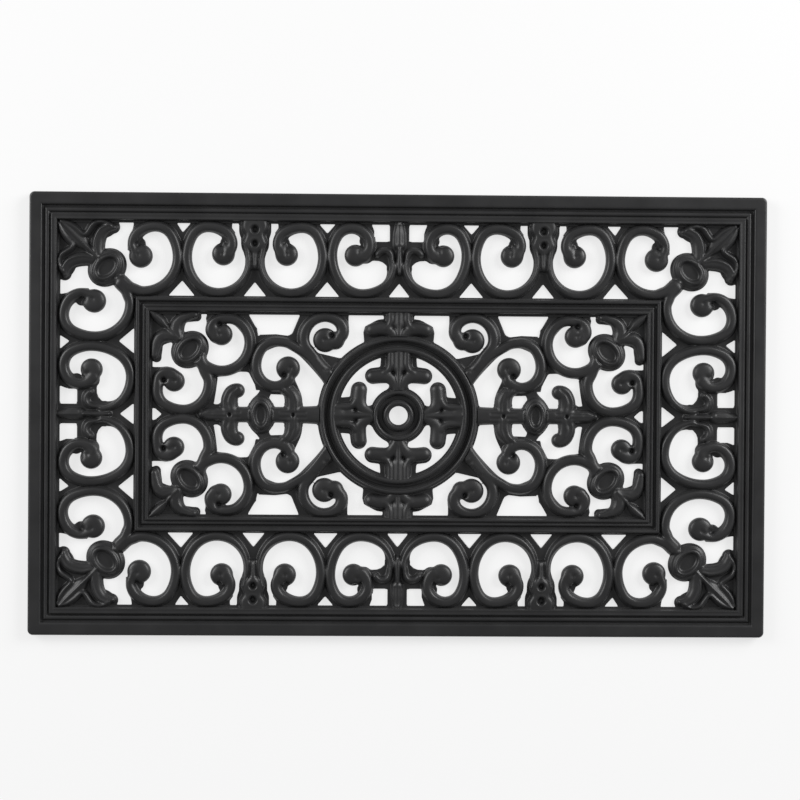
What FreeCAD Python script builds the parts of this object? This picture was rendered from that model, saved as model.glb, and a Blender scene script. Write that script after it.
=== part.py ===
import FreeCAD, Part
import math
import os
import Sketcher
from FreeCAD import Vector

# Moulded rubber doormat with an open scrollwork pattern, in millimetres.
# +Z is up, X runs along the long side and the origin is on the floor under the middle of the mat.

doc = FreeCAD.newDocument("doormat")

# Driving dimensions
drivingSizes = [
    ("matLength", 762.0),
    ("matWidth", 457.0),
    ("matHeight", 9.5),
    ("cornerRadius", 5.0),
    ("edgeRounding", 1.6),
    ("lipWidth", 2.0),
    ("lipHeight", 3.4),
    ("flatBand", 12.5),
    ("outerGroove", 3.0),
    ("outerBead", 4.5),
    ("fineGroove", 1.5),
    ("innerBand", 7.5),
    ("grooveDepth", 2.6),
    ("fineDepth", 1.4),
    ("panelFrameLength", 543.0),
    ("panelFrameWidth", 241.0),
    ("frameBand", 3.4),
    ("frameGroove", 2.4),
    ("frameHeight", 8.8),
    ("barWidth", 10.5),
    ("barHeight", 8.4),
    ("barLedge", 0.9),
    ("seamHalfWidth", 26.2),
    ("postSeamHalfWidth", 16.6),
    ("cellLength", 74.7),
    ("sideCellLength", 75.0),
    ("ringRadius", 84.0),
    ("ringBead", 5.6),
    ("ringGroove", 4.4),
    ("hubRadius", 29.5),
    ("hubHoleRadius", 9.7),
    ("hubBead", 6.2),
    ("hubGroove", 4.4),
    ("dimpleRadius", 3.0),
    ("dimpleDepth", 2.4),
    ("bossRadius", 20.0),
    ("dishDepth", 2.6),
    ("overrun", 2.0),
]

sheet = doc.addObject("Spreadsheet::Sheet", "sizes")
for row, (alias, value) in enumerate(drivingSizes, start=1):
    sheet.set("A%d" % row, alias)
    sheet.set("B%d" % row, str(value))
    sheet.setAlias("B%d" % row, alias)
doc.recompute()


def size(alias):
    return float(getattr(sheet, alias))


# Sizes that several pieces share, worked out from the sheet
lipWidth = size("lipWidth")
lipHeight = size("lipHeight")
barWidth = size("barWidth")
barHeight = size("barHeight")
overrun = size("overrun")
matHeight = size("matHeight")
outerSteps = size("flatBand") + size("outerGroove") + size("outerBead")
railWidth = outerSteps + size("fineGroove") + size("innerBand")
frameWidth = size("frameBand") * 3 + size("frameGroove") * 2

# Outer band: from the panel frame's lip to the border's lip
bandInnerX = size("panelFrameLength") / 2 + lipWidth
bandInnerY = size("panelFrameWidth") / 2 + lipWidth
bandOuterX = size("matLength") / 2 - railWidth - lipWidth
bandOuterY = size("matWidth") / 2 - railWidth - lipWidth
bandDepthX = bandOuterX - bandInnerX
bandDepthY = bandOuterY - bandInnerY
postX = size("cellLength") * 2
cornerStartX = size("cellLength") * 3
cornerStartY = size("sideCellLength")

# Panel inside the frame, to its inner lip
panelX = size("panelFrameLength") / 2 - frameWidth - lipWidth
panelY = size("panelFrameWidth") / 2 - frameWidth - lipWidth
ringRadius = size("ringRadius")
ringInner = ringRadius - size("ringBead") * 2 - size("ringGroove") - lipWidth * 3

nodes = []


def addNode(item, label):
    item.Label = label
    nodes.append(item)
    return item


def addShape(shape, label):
    feature = doc.addObject("Part::Feature", label)
    feature.Shape = shape
    feature.Placement = FreeCAD.Placement()
    return addNode(feature, label)


def addMirror(source, normal, label):
    mirror = doc.addObject("Part::Mirroring", label)
    mirror.Source = source
    mirror.Normal = normal
    return addNode(mirror, label)


# Sketches bound to the sheet

def originPlane(body, role):
    for feature in body.Origin.OriginFeatures:
        if feature.Role == role:
            return feature
    raise ValueError(role)


def drawOutline(body, name, role, corners):
    sketch = body.newObject("Sketcher::SketchObject", name)
    sketch.AttachmentSupport = (originPlane(body, role), [""])
    sketch.MapMode = "FlatFace"
    places = [(evaluate(sideways), evaluate(upward)) for sideways, upward in corners]
    count = len(places)
    for index in range(count):
        start = Vector(places[index][0], places[index][1], 0)
        end = Vector(places[(index + 1) % count][0], places[(index + 1) % count][1], 0)
        sketch.addGeometry(Part.LineSegment(start, end), False)
    for index in range(count):
        sketch.addConstraint(Sketcher.Constraint("Coincident", index, 2, (index + 1) % count, 1))
    for index in range(count):
        for axis, kind in enumerate(("DistanceX", "DistanceY")):
            constraint = Sketcher.Constraint(kind, -1, 1, index, 1, places[index][axis])
            number = sketch.addConstraint(constraint)
            sketch.setExpression("Constraints[%d]" % number, corners[index][axis])
    return sketch


def evaluate(expression):
    value = sheet.evalExpression(expression.replace("sizes.", ""))
    return float(getattr(value, "Value", value))


def padBody(name, role, corners, lengthExpression):
    body = doc.addObject("PartDesign::Body", name)
    sketch = drawOutline(body, name + "Section", role, corners)
    pad = body.newObject("PartDesign::Pad", name + "Pad")
    pad.Profile = sketch
    pad.SideType = "Symmetric"
    pad.setExpression("Length", lengthExpression)
    return body


def cutThrough(body, name, corners):
    sketch = drawOutline(body, name + "Outline", "XY_Plane", corners)
    pocket = body.newObject("PartDesign::Pocket", name)
    pocket.Profile = sketch
    pocket.SideType = "Symmetric"
    pocket.setExpression("Length", "4 * sizes.matHeight")
    return pocket


# The rounded blank that the border's corners and outer edges are cut to

def edgeNames(shape, test):
    return ["Edge%d" % (index + 1) for index, edge in enumerate(shape.Edges) if test(edge)]


def makeBlank():
    body = doc.addObject("PartDesign::Body", "matBlank")
    halfLength = "sizes.matLength / 2"
    halfWidth = "sizes.matWidth / 2"
    corners = [
        ("-" + halfLength, "-" + halfWidth),
        (halfLength, "-" + halfWidth),
        (halfLength, halfWidth),
        ("-" + halfLength, halfWidth),
    ]
    sketch = drawOutline(body, "blankOutline", "XY_Plane", corners)
    pad = body.newObject("PartDesign::Pad", "blankPad")
    pad.Profile = sketch
    pad.setExpression("Length", "sizes.matHeight")
    doc.recompute()
    upright = edgeNames(pad.Shape, lambda edge: abs(edge.tangentAt(edge.FirstParameter).z) > 0.9)
    rounding = body.newObject("PartDesign::Fillet", "cornerFillet")
    rounding.Base = (pad, upright)
    rounding.setExpression("Radius", "sizes.cornerRadius")
    doc.recompute()
    top = rounding.Shape.BoundBox.ZMax
    rim = edgeNames(rounding.Shape, lambda edge: edge.BoundBox.ZMin > top * 0.99)
    softening = body.newObject("PartDesign::Fillet", "edgeFillet")
    softening.Base = (rounding, rim)
    softening.setExpression("Radius", "sizes.edgeRounding")
    doc.recompute()
    return body


# Border rails: where a groove's floor or a bead's crest begins and ends across its width

flankStartShare = 0.3
flankEndShare = 0.7
saddleShare = 0.5
fineRidgeShare = 0.4
innerFlatShare = 0.86


def across(depth, alias, share):
    return "%s - sizes.%s * %g" % (depth, alias, share)


def below(height, alias, share=1):
    return "%s - sizes.%s * %g" % (height, alias, share)


def railSection(halfExpression):
    height = "sizes.matHeight"
    depth = halfExpression
    corners = [(depth, "0"), (depth, height)]
    depth = depth + " - sizes.flatBand"
    corners.append((depth, height))
    corners.append((across(depth, "outerGroove", flankStartShare), below(height, "grooveDepth")))
    corners.append((across(depth, "outerGroove", flankEndShare), below(height, "grooveDepth")))
    depth = depth + " - sizes.outerGroove"
    corners.append((depth, below(height, "fineDepth", saddleShare)))
    corners.append((across(depth, "outerBead", flankStartShare), height))
    corners.append((across(depth, "outerBead", flankEndShare), height))
    depth = depth + " - sizes.outerBead"
    corners.append((depth, below(height, "fineDepth", saddleShare)))
    corners.append((across(depth, "fineGroove", saddleShare), below(height, "fineDepth")))
    depth = depth + " - sizes.fineGroove"
    corners.append((depth, below(height, "fineDepth", fineRidgeShare)))
    corners.append((across(depth, "innerBand", innerFlatShare), below(height, "fineDepth", fineRidgeShare)))
    depth = depth + " - sizes.innerBand"
    corners.append((depth, "sizes.lipHeight"))
    depth = depth + " - sizes.lipWidth"
    corners.append((depth, "sizes.lipHeight"))
    corners.append((depth, "0"))
    return corners


def mitreCorners(halfLength, halfWidth, width, side, alongX):
    # Triangle beyond the 45 degree line through the outer corner; width reaches past the rail
    outerLong = halfLength + " + sizes.overrun"
    outerWide = halfWidth + " + sizes.overrun"
    innerLong = halfLength + " - (" + width + ")"
    innerWide = halfWidth + " - (" + width + ")"
    sign = "-" if side < 0 else ""
    if alongX:
        return [
            (sign + "(" + outerLong + ")", outerWide),
            (sign + "(" + innerLong + ")", innerWide),
            (sign + "(" + outerLong + ")", innerWide),
        ]
    return [
        (outerLong, sign + "(" + outerWide + ")"),
        (innerLong, sign + "(" + innerWide + ")"),
        (innerLong, sign + "(" + outerWide + ")"),
    ]


def makeRail(name, section, halfLength, halfWidth, width, alongX):
    role = "YZ_Plane" if alongX else "XZ_Plane"
    length = "2 * (" + (halfLength if alongX else halfWidth) + ")"
    body = padBody(name, role, section, length)
    cutThrough(body, name + "MitreA", mitreCorners(halfLength, halfWidth, width, 1, alongX))
    cutThrough(body, name + "MitreB", mitreCorners(halfLength, halfWidth, width, -1, alongX))
    return body


def makeBorder():
    blank = makeBlank()
    halfLength = "sizes.matLength / 2"
    halfWidth = "sizes.matWidth / 2"
    width = (
        "sizes.flatBand + sizes.outerGroove + sizes.outerBead + sizes.fineGroove"
        " + sizes.innerBand + sizes.lipWidth + sizes.overrun"
    )
    north = makeRail("northRail", railSection(halfWidth), halfLength, halfWidth, width, True)
    east = makeRail("eastRail", railSection(halfLength), halfLength, halfWidth, width, False)
    for rail, label, opposite, normal in (
        (north, "border_rail_north", "border_rail_south", Vector(0, 1, 0)),
        (east, "border_rail_east", "border_rail_west", Vector(1, 0, 0)),
    ):
        common = doc.addObject("Part::Common", label)
        common.Base = rail
        common.Tool = blank
        addNode(common, label)
        addMirror(common, normal, opposite)


# Panel frame rails, with a lip on both sides

frameFlankShare = 0.2


def frameSection(halfExpression):
    height = "sizes.frameHeight"
    depth = halfExpression + " + sizes.lipWidth"
    corners = [(depth, "0"), (depth, "sizes.lipHeight")]
    depth = halfExpression
    corners.append((depth, "sizes.lipHeight"))
    corners.append((across(depth, "frameBand", frameFlankShare), height))
    for groove in range(2):
        depth = depth + " - sizes.frameBand"
        corners.append((depth, height))
        corners.append((across(depth, "frameGroove", saddleShare), below(height, "fineDepth")))
        depth = depth + " - sizes.frameGroove"
        corners.append((depth, height))
    depth = depth + " - sizes.frameBand"
    corners.append((across(depth, "frameBand", -frameFlankShare), height))
    corners.append((depth, "sizes.lipHeight"))
    depth = depth + " - sizes.lipWidth"
    corners.append((depth, "sizes.lipHeight"))
    corners.append((depth, "0"))
    return corners


def makePanelFrame():
    halfLength = "(sizes.panelFrameLength / 2 + sizes.lipWidth)"
    halfWidth = "(sizes.panelFrameWidth / 2 + sizes.lipWidth)"
    width = "3 * sizes.frameBand + 2 * sizes.frameGroove + 2 * sizes.lipWidth + sizes.overrun"
    northSection = frameSection("sizes.panelFrameWidth / 2")
    eastSection = frameSection("sizes.panelFrameLength / 2")
    north = makeRail("northFrame", northSection, halfLength, halfWidth, width, True)
    east = makeRail("eastFrame", eastSection, halfLength, halfWidth, width, False)
    addNode(north, "panel_frame_north")
    addNode(east, "panel_frame_east")
    addMirror(north, Vector(0, 1, 0), "panel_frame_south")
    addMirror(east, Vector(1, 0, 0), "panel_frame_west")


# Ring and hub, turned about the middle of the mat

def turnedBody(name, corners):
    body = doc.addObject("PartDesign::Body", name)
    sketch = drawOutline(body, name + "Section", "XZ_Plane", corners)
    turning = body.newObject("PartDesign::Revolution", name + "Turning")
    turning.Profile = sketch
    turning.ReferenceAxis = (sketch, ["V_Axis"])
    turning.Angle = 360.0
    return body


def beadCorners(outerEdge, beadWidth, height):
    # A bead from its outer edge inward: steep flanks and a flat crest
    return [
        (outerEdge, below(height, "fineDepth")),
        (across(outerEdge, beadWidth, flankStartShare), height),
        (across(outerEdge, beadWidth, flankEndShare), height),
        (across(outerEdge, beadWidth, 1), below(height, "fineDepth")),
    ]


def makeRing():
    rim = "sizes.ringRadius"
    outer = rim + " - sizes.lipWidth"
    grooveOuter = outer + " - sizes.ringBead"
    grooveInner = grooveOuter + " - sizes.ringGroove"
    beadInner = grooveInner + " - sizes.ringBead"
    floorHeight = "sizes.barHeight - sizes.grooveDepth"
    corners = [(rim, "0"), (rim, "sizes.lipHeight"), (outer, "sizes.lipHeight")]
    corners += beadCorners(outer, "ringBead", "sizes.frameHeight")
    corners.append((grooveOuter, floorHeight))
    corners.append((grooveInner, floorHeight))
    corners += beadCorners(grooveInner, "ringBead", "sizes.barHeight")
    corners.append((beadInner, "sizes.lipHeight"))
    corners.append((beadInner + " - 2 * sizes.lipWidth", "sizes.lipHeight"))
    corners.append((beadInner + " - 2 * sizes.lipWidth", "0"))
    addNode(turnedBody("ringBody", corners), "ring")


def makeHub():
    outer = "sizes.hubRadius"
    beadOuter = outer + " - sizes.lipWidth"
    grooveOuter = beadOuter + " - sizes.hubBead"
    grooveInner = grooveOuter + " - sizes.hubGroove"
    floorHeight = "sizes.barHeight - sizes.grooveDepth"
    corners = [(outer, "0"), (outer, "sizes.lipHeight"), (beadOuter, "sizes.lipHeight")]
    corners += beadCorners(beadOuter, "hubBead", "sizes.frameHeight")
    corners.append((grooveOuter, floorHeight))
    corners.append((grooveInner, floorHeight))
    corners.append((grooveInner, "sizes.barHeight - sizes.fineDepth"))
    corners.append(("(" + grooveInner + " + sizes.hubHoleRadius) * 0.5", "sizes.frameHeight"))
    corners.append(("sizes.hubHoleRadius", "sizes.barHeight - sizes.fineDepth"))
    corners.append(("sizes.hubHoleRadius", "0"))
    addNode(turnedBody("hubBody", corners), "hub")


# Strokes: raised bars with a low ledge, along smooth routes of circular arcs

def unit(degrees):
    angle = math.radians(degrees)
    return Vector(math.cos(angle), math.sin(angle), 0)


def left(direction):
    return Vector(-direction.y, direction.x, 0)


def arcEdge(start, heading, end):
    # The circular arc that leaves start along heading and reaches end
    chord = end - start
    turn = math.atan2(heading.cross(chord).z, heading.dot(chord))
    if abs(turn) < 1e-4:
        return Part.makeLine(start, end)
    middle = (start + end) * 0.5 - left(chord) * (0.5 * math.tan(turn / 2))
    return Part.Arc(start, middle, end).toShape()


def biarc(start, startHeading, end, endHeading):
    # Two arcs that meet smoothly and leave and arrive along the two headings
    chord = end - start
    both = startHeading + endHeading
    spread = 2 * (1 - startHeading.dot(endHeading))
    along = chord.dot(both)
    if spread < 1e-9:
        reach = chord.dot(chord) / (2 * along)
    else:
        reach = (-along + math.sqrt(along * along + spread * chord.dot(chord))) / spread
    joint = (start + end + (startHeading - endHeading) * reach) * 0.5
    jointHeading = (end - endHeading * reach - start - startHeading * reach).normalize()
    return [arcEdge(start, startHeading, joint), arcEdge(joint, jointHeading, end)]


def strokeWire(stops, inset, share, level):
    # Closed outline at one height: left side, round end, right side, round start
    lefts = []
    rights = []
    for place, heading, half in stops:
        reach = left(heading) * ((half - inset) * share)
        lift = Vector(0, 0, level)
        lefts.append((place + reach + lift, heading))
        rights.append((place - reach + lift, heading * -1))
    edges = []
    for (start, startHeading), (end, endHeading) in zip(lefts, lefts[1:]):
        edges += biarc(start, startHeading, end, endHeading)
    edges += capEdges(lefts[-1], rights[-1])
    backwards = rights[::-1]
    for (start, startHeading), (end, endHeading) in zip(backwards, backwards[1:]):
        edges += biarc(start, startHeading, end, endHeading)
    edges += capEdges(backwards[-1], lefts[0])
    return Part.Wire(edges)


def capEdges(leaving, arriving):
    start, heading = leaving
    end = arriving[0]
    tip = (start + end) * 0.5 + heading * ((end - start).Length * 0.5)
    return [arcEdge(start, heading, tip), arcEdge(tip, left(heading) * -1, end)]


# Heights and widths of a bar's outline, as shares of its own height and half width
crownShares = [(0.06, 1.0), (0.62, 0.84), (1.0, 0.4)]


def strokeSolid(stops):
    ledge = size("barLedge")
    wires = [strokeWire(stops, 0, 1.0, 0), strokeWire(stops, 0, 1.0, lipHeight)]
    for heightShare, widthShare in crownShares:
        level = lipHeight + (barHeight - lipHeight) * heightShare
        wires.append(strokeWire(stops, ledge, widthShare, level))
    return Part.makeLoft(wires, True, True)


def eyeSolid(place, radius):
    ledge = size("barLedge")
    profile = [Vector(0, 0, 0), Vector(radius, 0, 0), Vector(radius, 0, lipHeight)]
    for heightShare, widthShare in crownShares:
        level = lipHeight + (barHeight - lipHeight) * heightShare
        profile.append(Vector((radius - ledge) * widthShare, 0, level))
    profile.append(Vector(0, 0, barHeight))
    face = Part.Face(Part.makePolygon(profile + profile[:1]))
    solid = face.revolve(Vector(0, 0, 0), Vector(0, 0, 1), 360)
    solid.translate(place)
    return solid


def webSolid(places):
    face = Part.Face(Part.makePolygon(places + places[:1]))
    return face.extrude(Vector(0, 0, lipHeight))


def block(places):
    # A tall prism that trims a piece to its own share of the pattern
    lowered = [place - Vector(0, 0, overrun) for place in places]
    face = Part.Face(Part.makePolygon(lowered + lowered[:1]))
    return face.extrude(Vector(0, 0, matHeight + overrun * 2))


def joined(solids):
    if len(solids) == 1:
        return solids[0]
    return solids[0].fuse(solids[1:])


def plainSolid(shape):
    solids = sorted(shape.Solids, key=lambda solid: solid.Volume)
    return solids[-1]


# A frame of reference turns shares into places: across the cell and into its depth
class Field:
    def __init__(self, origin, along, depth, swapped=False):
        self.origin = origin
        self.along = along
        self.depth = depth
        self.swapped = swapped

    def place(self, alongShare, depthShare):
        alongSize = alongShare * self.along
        depthSize = depthShare * self.depth
        if self.swapped:
            return self.origin + Vector(depthSize, alongSize, 0)
        return self.origin + Vector(alongSize, depthSize, 0)

    def heading(self, degrees):
        direction = unit(degrees)
        if self.along < 0:
            direction = Vector(-direction.x, direction.y, 0)
        if self.swapped:
            direction = Vector(direction.y, direction.x, 0)
        return direction

    def stops(self, table):
        rows = []
        for alongShare, depthShare, degrees, widthShare in table:
            place = self.place(alongShare, depthShare)
            rows.append((place, self.heading(degrees), widthShare * barWidth))
        return rows

    def stroke(self, table):
        return strokeSolid(self.stops(table))

    def eye(self, row):
        alongShare, depthShare, radiusShare = row
        return eyeSolid(self.place(alongShare, depthShare), radiusShare * barWidth)

    def web(self, table):
        return webSolid([self.place(*row) for row in table])

    def block(self, table):
        return block([self.place(*row) for row in table])


# Outer band scrolls. Rows are: share along the cell, share of the band's depth, heading in
# degrees, half width as a share of the bar's width.

postScrollShares = [
    (0.058, 0.680, 270, 0.52),
    (0.062, 0.480, 270, 0.52),
    (0.503, 0.041, 0, 0.50),
    (0.941, 0.540, 90, 0.50),
    (0.650, 0.953, 180, 0.54),
    (0.335, 0.720, 270, 0.66),
    (0.385, 0.610, 300, 0.70),
]
postScrollEyeShares = [(0.437, 0.578, 1.12), (0.390, 0.733, 0.65)]
postSeamShare = 0.607
postScrollWebShares = [
    [(0.58, 0.0), (0.83, 0.0), (1.0, 0.205), (1.0, 0.50), (0.82, 0.19)],
    [(0.76, 1.0), (0.888, 1.0), (1.0, 0.872), (1.0, 0.60), (0.86, 0.83)],
    [(0.42, 0.0), (0.157, 0.0), (0.0, 0.195), (0.0, 0.42), (0.19, 0.17)],
    [(0.60, 1.0), (0.320, 1.0), (0.320, 0.940), (0.275, 0.873), (0.43, 0.886)],
]

leafScrollShares = [
    (0.080, 0.450, 270, 0.64),
    (0.083, 0.350, 270, 0.63),
    (0.509, 0.040, 0, 0.50),
    (0.934, 0.580, 90, 0.51),
    (0.665, 0.950, 180, 0.56),
    (0.425, 0.715, 270, 0.60),
    (0.520, 0.560, 320, 0.60),
]
leafScrollEyeShares = [(0.610, 0.572, 1.08), (0.469, 0.580, 0.85), (0.475, 0.773, 0.58)]
leafSeamShare = 0.393
leafScrollWebShares = [
    [(0.58, 0.0), (0.83, 0.0), (1.0, 0.205), (1.0, 0.50), (0.82, 0.19)],
    [(0.76, 1.0), (0.888, 1.0), (1.0, 0.872), (1.0, 0.60), (0.86, 0.83)],
    [(0.44, 0.0), (0.150, 0.0), (0.0, 0.190), (0.0, 0.38), (0.20, 0.16)],
    [(0.62, 1.0), (0.385, 1.0), (0.360, 0.940), (0.340, 0.880), (0.340, 0.70), (0.45, 0.80)],
]

cornerScrollShares = [
    (1.245, 0.193, 225, 0.60),
    (1.040, 0.095, 200, 0.56),
    (0.816, 0.055, 180, 0.52),
    (0.100, 0.527, 90, 0.50),
    (0.570, 0.953, 0, 0.52),
    (1.010, 0.713, 270, 0.62),
    (0.925, 0.590, 240, 0.66),
]
cornerScrollEyeShares = [(0.872, 0.542, 1.16), (0.900, 0.713, 0.60)]
cornerScrollWebShares = [
    [(0.75, 0.0), (0.295, 0.0), (0.0, 0.213), (0.0, 0.50), (0.30, 0.19)],
    [(0.42, 1.0), (0.125, 1.0), (0.0, 0.872), (0.0, 0.60), (0.22, 0.83)],
    [(0.60, 1.0), (1.02, 1.0), (1.05, 0.88), (1.13, 0.76), (1.15, 0.62), (1.0, 0.60), (0.90, 0.88)],
]


def scrollCell(field, seamHalf, seamShare):
    # The cell without the room of the post or leaf that the scroll springs from
    seam = seamHalf / abs(field.along)
    return field.block([(0, 0), (1, 0), (1, 1), (seam, 1), (seam, seamShare), (0, seamShare)])


def scrollSolids(field, table, eyeTable, webTables):
    solids = [field.stroke(table)]
    solids += [field.eye(row) for row in eyeTable]
    solids += [field.web(rows) for rows in webTables]
    return solids


def makeScroll(field, tables, seamHalf, seamShare, label):
    scroll = joined(scrollSolids(field, *tables))
    shape = plainSolid(scroll.common(scrollCell(field, seamHalf, seamShare)))
    return addShape(shape, label)


def mirrored(base, label, name):
    west = addMirror(base, Vector(1, 0, 0), label + "_nw" + name)
    addMirror(base, Vector(0, 1, 0), label + "_se" + name)
    addMirror(west, Vector(0, 1, 0), label + "_sw" + name)


def makePostScrolls():
    origin = Vector(postX, bandInnerY, 0)
    for name, along in (("_outer", size("cellLength")), ("_inner", -size("cellLength"))):
        field = Field(origin, along, bandDepthY)
        seamHalf = size("postSeamHalfWidth")
        tables = (postScrollShares, postScrollEyeShares, postScrollWebShares)
        base = makeScroll(field, tables, seamHalf, postSeamShare, "post_scroll_ne" + name)
        mirrored(base, "post_scroll", name)


def makeLeafScrolls():
    seamHalf = size("seamHalfWidth")
    long = Field(Vector(0, bandInnerY, 0), size("cellLength"), bandDepthY)
    short = Field(Vector(bandInnerX, 0, 0), cornerStartY, bandDepthX, True)
    for name, field in (("_long", long), ("_short", short)):
        tables = (leafScrollShares, leafScrollEyeShares, leafScrollWebShares)
        base = makeScroll(field, tables, seamHalf, leafSeamShare, "leaf_scroll_ne" + name)
        mirrored(base, "leaf_scroll", name)


# Corner scrolls: a pair that springs from one stem at the corner of the panel frame

stemSeamShare = 0.160
stemSeamReach = 0.300


def stemSeam(field):
    # Everything of the stem beyond the seam across the corner's diagonal, as a small block
    near = stemSeamShare * 2
    side = stemSeamReach
    return field.block([
        (near / 2 - side / 2, near / 2 + side / 2),
        (near / 2 + side / 2, near / 2 - side / 2),
        (near / 2 + side, near / 2),
        (near / 2, near / 2 + side),
    ])


def makeCornerScrolls():
    runX = bandInnerX - cornerStartX
    runY = bandInnerY - cornerStartY
    long = Field(Vector(cornerStartX, bandInnerY, 0), runX, bandDepthY)
    short = Field(Vector(bandInnerX, cornerStartY, 0), runY, bandDepthX, True)
    solids = []
    for field in (long, short):
        solids += scrollSolids(field, cornerScrollShares, cornerScrollEyeShares, cornerScrollWebShares)
    corner = Field(Vector(bandInnerX, bandInnerY, 0), bandDepthX, bandDepthY)
    room = block([
        Vector(cornerStartX, bandInnerY, 0),
        Vector(bandInnerX, bandInnerY, 0),
        Vector(bandInnerX, cornerStartY, 0),
        Vector(bandOuterX, cornerStartY, 0),
        Vector(bandOuterX, bandOuterY, 0),
        Vector(cornerStartX, bandOuterY, 0),
    ])
    shape = joined(solids).common(room).cut(stemSeam(corner))
    base = addShape(plainSolid(shape), "corner_scrolls_ne")
    mirrored(base, "corner_scrolls", "")


# Posts with two dimples, on the seam between the post scrolls

postShares = [
    (0.0, 0.560, 90, 0.93),
    (0.0, 0.640, 90, 1.15),
    (0.0, 0.730, 90, 1.38),
    (0.0, 0.830, 90, 1.40),
    (0.0, 0.930, 90, 1.60),
    (0.0, 1.100, 90, 1.58),
]
postDimpleShares = [0.735, 0.925]


def makePosts():
    field = Field(Vector(postX, bandInnerY, 0), size("cellLength"), bandDepthY)
    seam = size("postSeamHalfWidth") / size("cellLength")
    post = field.stroke(postShares)
    for share in postDimpleShares:
        depth = size("dimpleDepth")
        dimple = Part.makeCylinder(size("dimpleRadius"), depth + overrun)
        dimple.translate(field.place(0, share) + Vector(0, 0, barHeight - depth))
        post = post.cut(dimple)
    room = field.block([(-seam, postSeamShare), (seam, postSeamShare), (seam, 1), (-seam, 1)])
    base = addShape(plainSolid(post.common(room)), "post_ne")
    mirrored(base, "post", "")


# Spear leaves in the middle of each side

spearShares = [
    (0.0, 0.640, 90, 0.50),
    (0.0, 0.820, 90, 0.62),
    (0.0, 1.100, 90, 0.56),
]
leafStemShares = [
    (0.0, 0.340, 90, 0.80),
    (0.0, 0.480, 90, 0.62),
    (0.0, 0.700, 90, 0.50),
]
curledLeafShares = [
    (0.060, 0.400, 90, 0.44),
    (0.105, 0.590, 70, 0.46),
    (0.225, 0.665, 350, 0.52),
]
curledLeafEyeShares = (0.243, 0.640, 0.66)
sideLeafWebShares = [
    (-0.370, 0.504),
    (-0.285, 0.500),
    (-0.230, 0.480),
    (-0.172, 0.430),
    (-0.172, 0.380),
    (0.172, 0.380),
    (0.172, 0.430),
    (0.230, 0.480),
    (0.285, 0.500),
    (0.370, 0.504),
    (0.370, 0.765),
    (0.130, 0.765),
    (0.130, 1.020),
    (-0.130, 1.020),
    (-0.130, 0.765),
    (-0.370, 0.765),
]


def flipped(table):
    # The same route on the other side of the motif's own axis
    rows = []
    for row in table:
        if len(row) == 4:
            rows.append((-row[0], row[1], 180 - row[2], row[3]))
        else:
            rows.append((-row[0],) + tuple(row[1:]))
    return rows


def bothSides(field, table):
    return [field.stroke(table), field.stroke(flipped(table))]


def bothEyes(field, row):
    return [field.eye(row), field.eye((-row[0], row[1], row[2]))]


def makeSideLeaf(field, label):
    seam = size("seamHalfWidth") / abs(field.along)
    solids = [field.stroke(spearShares), field.stroke(leafStemShares)]
    solids.append(field.web(sideLeafWebShares))
    solids += bothSides(field, curledLeafShares)
    solids += bothEyes(field, curledLeafEyeShares)
    room = field.block([(-seam, leafSeamShare), (seam, leafSeamShare), (seam, 1), (-seam, 1)])
    return addShape(plainSolid(joined(solids).common(room)), label)


def makeSideLeaves():
    long = Field(Vector(0, bandInnerY, 0), size("cellLength"), bandDepthY)
    short = Field(Vector(bandInnerX, 0, 0), cornerStartY, bandDepthX, True)
    north = makeSideLeaf(long, "side_leaf_north")
    east = makeSideLeaf(short, "side_leaf_east")
    addMirror(north, Vector(0, 1, 0), "side_leaf_south")
    addMirror(east, Vector(1, 0, 0), "side_leaf_west")


# Oval boss with a dish, at an angle. Pairs are shares of its long and its short half size.

def ovalWire(place, long, wide, level, degrees):
    ellipse = Part.Ellipse(Vector(0, 0, 0), long, wide)
    wire = Part.Wire([ellipse.toShape()])
    wire.rotate(Vector(0, 0, 0), Vector(0, 0, 1), degrees)
    wire.translate(place + Vector(0, 0, level))
    return wire


ovalLipShares = (1.07, 0.93)
ovalRimShares = (0.90, 0.78)
ovalCrestShares = (0.74, 0.58)
ovalDishShares = (0.56, 0.34)
ovalFloorShares = (0.40, 0.20)


def ovalLoft(place, long, wide, degrees, low, high):
    # A solid oval from one level to another, each given as its two shares and its height
    wires = []
    for (longShare, wideShare), level in (low, high):
        wires.append(ovalWire(place, long * longShare, wide * wideShare, level, degrees))
    return Part.makeLoft(wires, True, True)


def ovalBoss(place, radius, degrees, height):
    base = ovalLoft(place, radius, radius, degrees, (ovalLipShares, 0), (ovalLipShares, lipHeight))
    floor = height - size("dishDepth")
    rim = ovalLoft(place, radius, radius, degrees, (ovalRimShares, lipHeight / 2), (ovalCrestShares, height))
    dish = ovalLoft(place, radius, radius, degrees, (ovalFloorShares, floor), (ovalDishShares, height))
    return base.fuse(rim), dish


# Outer corner leaves. Shares run from the panel frame's corner to the border's corner.

cornerStemShares = [
    (0.100, 0.100, 45, 0.62),
    (0.340, 0.340, 45, 0.80),
]
cornerSpearShares = [
    (0.520, 0.520, 45, 0.55),
    (0.800, 0.800, 45, 0.98),
    (1.020, 1.020, 45, 0.60),
]
cornerInnerLeafShares = [
    (0.500, 0.450, 80, 0.66),
    (0.490, 0.710, 95, 0.68),
    (0.400, 0.890, 160, 0.72),
    (0.290, 0.940, 170, 0.66),
]
cornerOuterLeafShares = [
    (0.640, 0.740, 90, 0.46),
    (0.585, 0.880, 120, 0.50),
    (0.430, 0.990, 165, 0.50),
]
cornerOvalPlaceShares = (0.353, 0.367)
cornerWebShares = [
    (0.500, 0.500),
    (0.500, 0.800),
    (0.300, 1.000),
    (1.000, 1.000),
    (1.000, 0.300),
    (0.800, 0.500),
]


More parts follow.
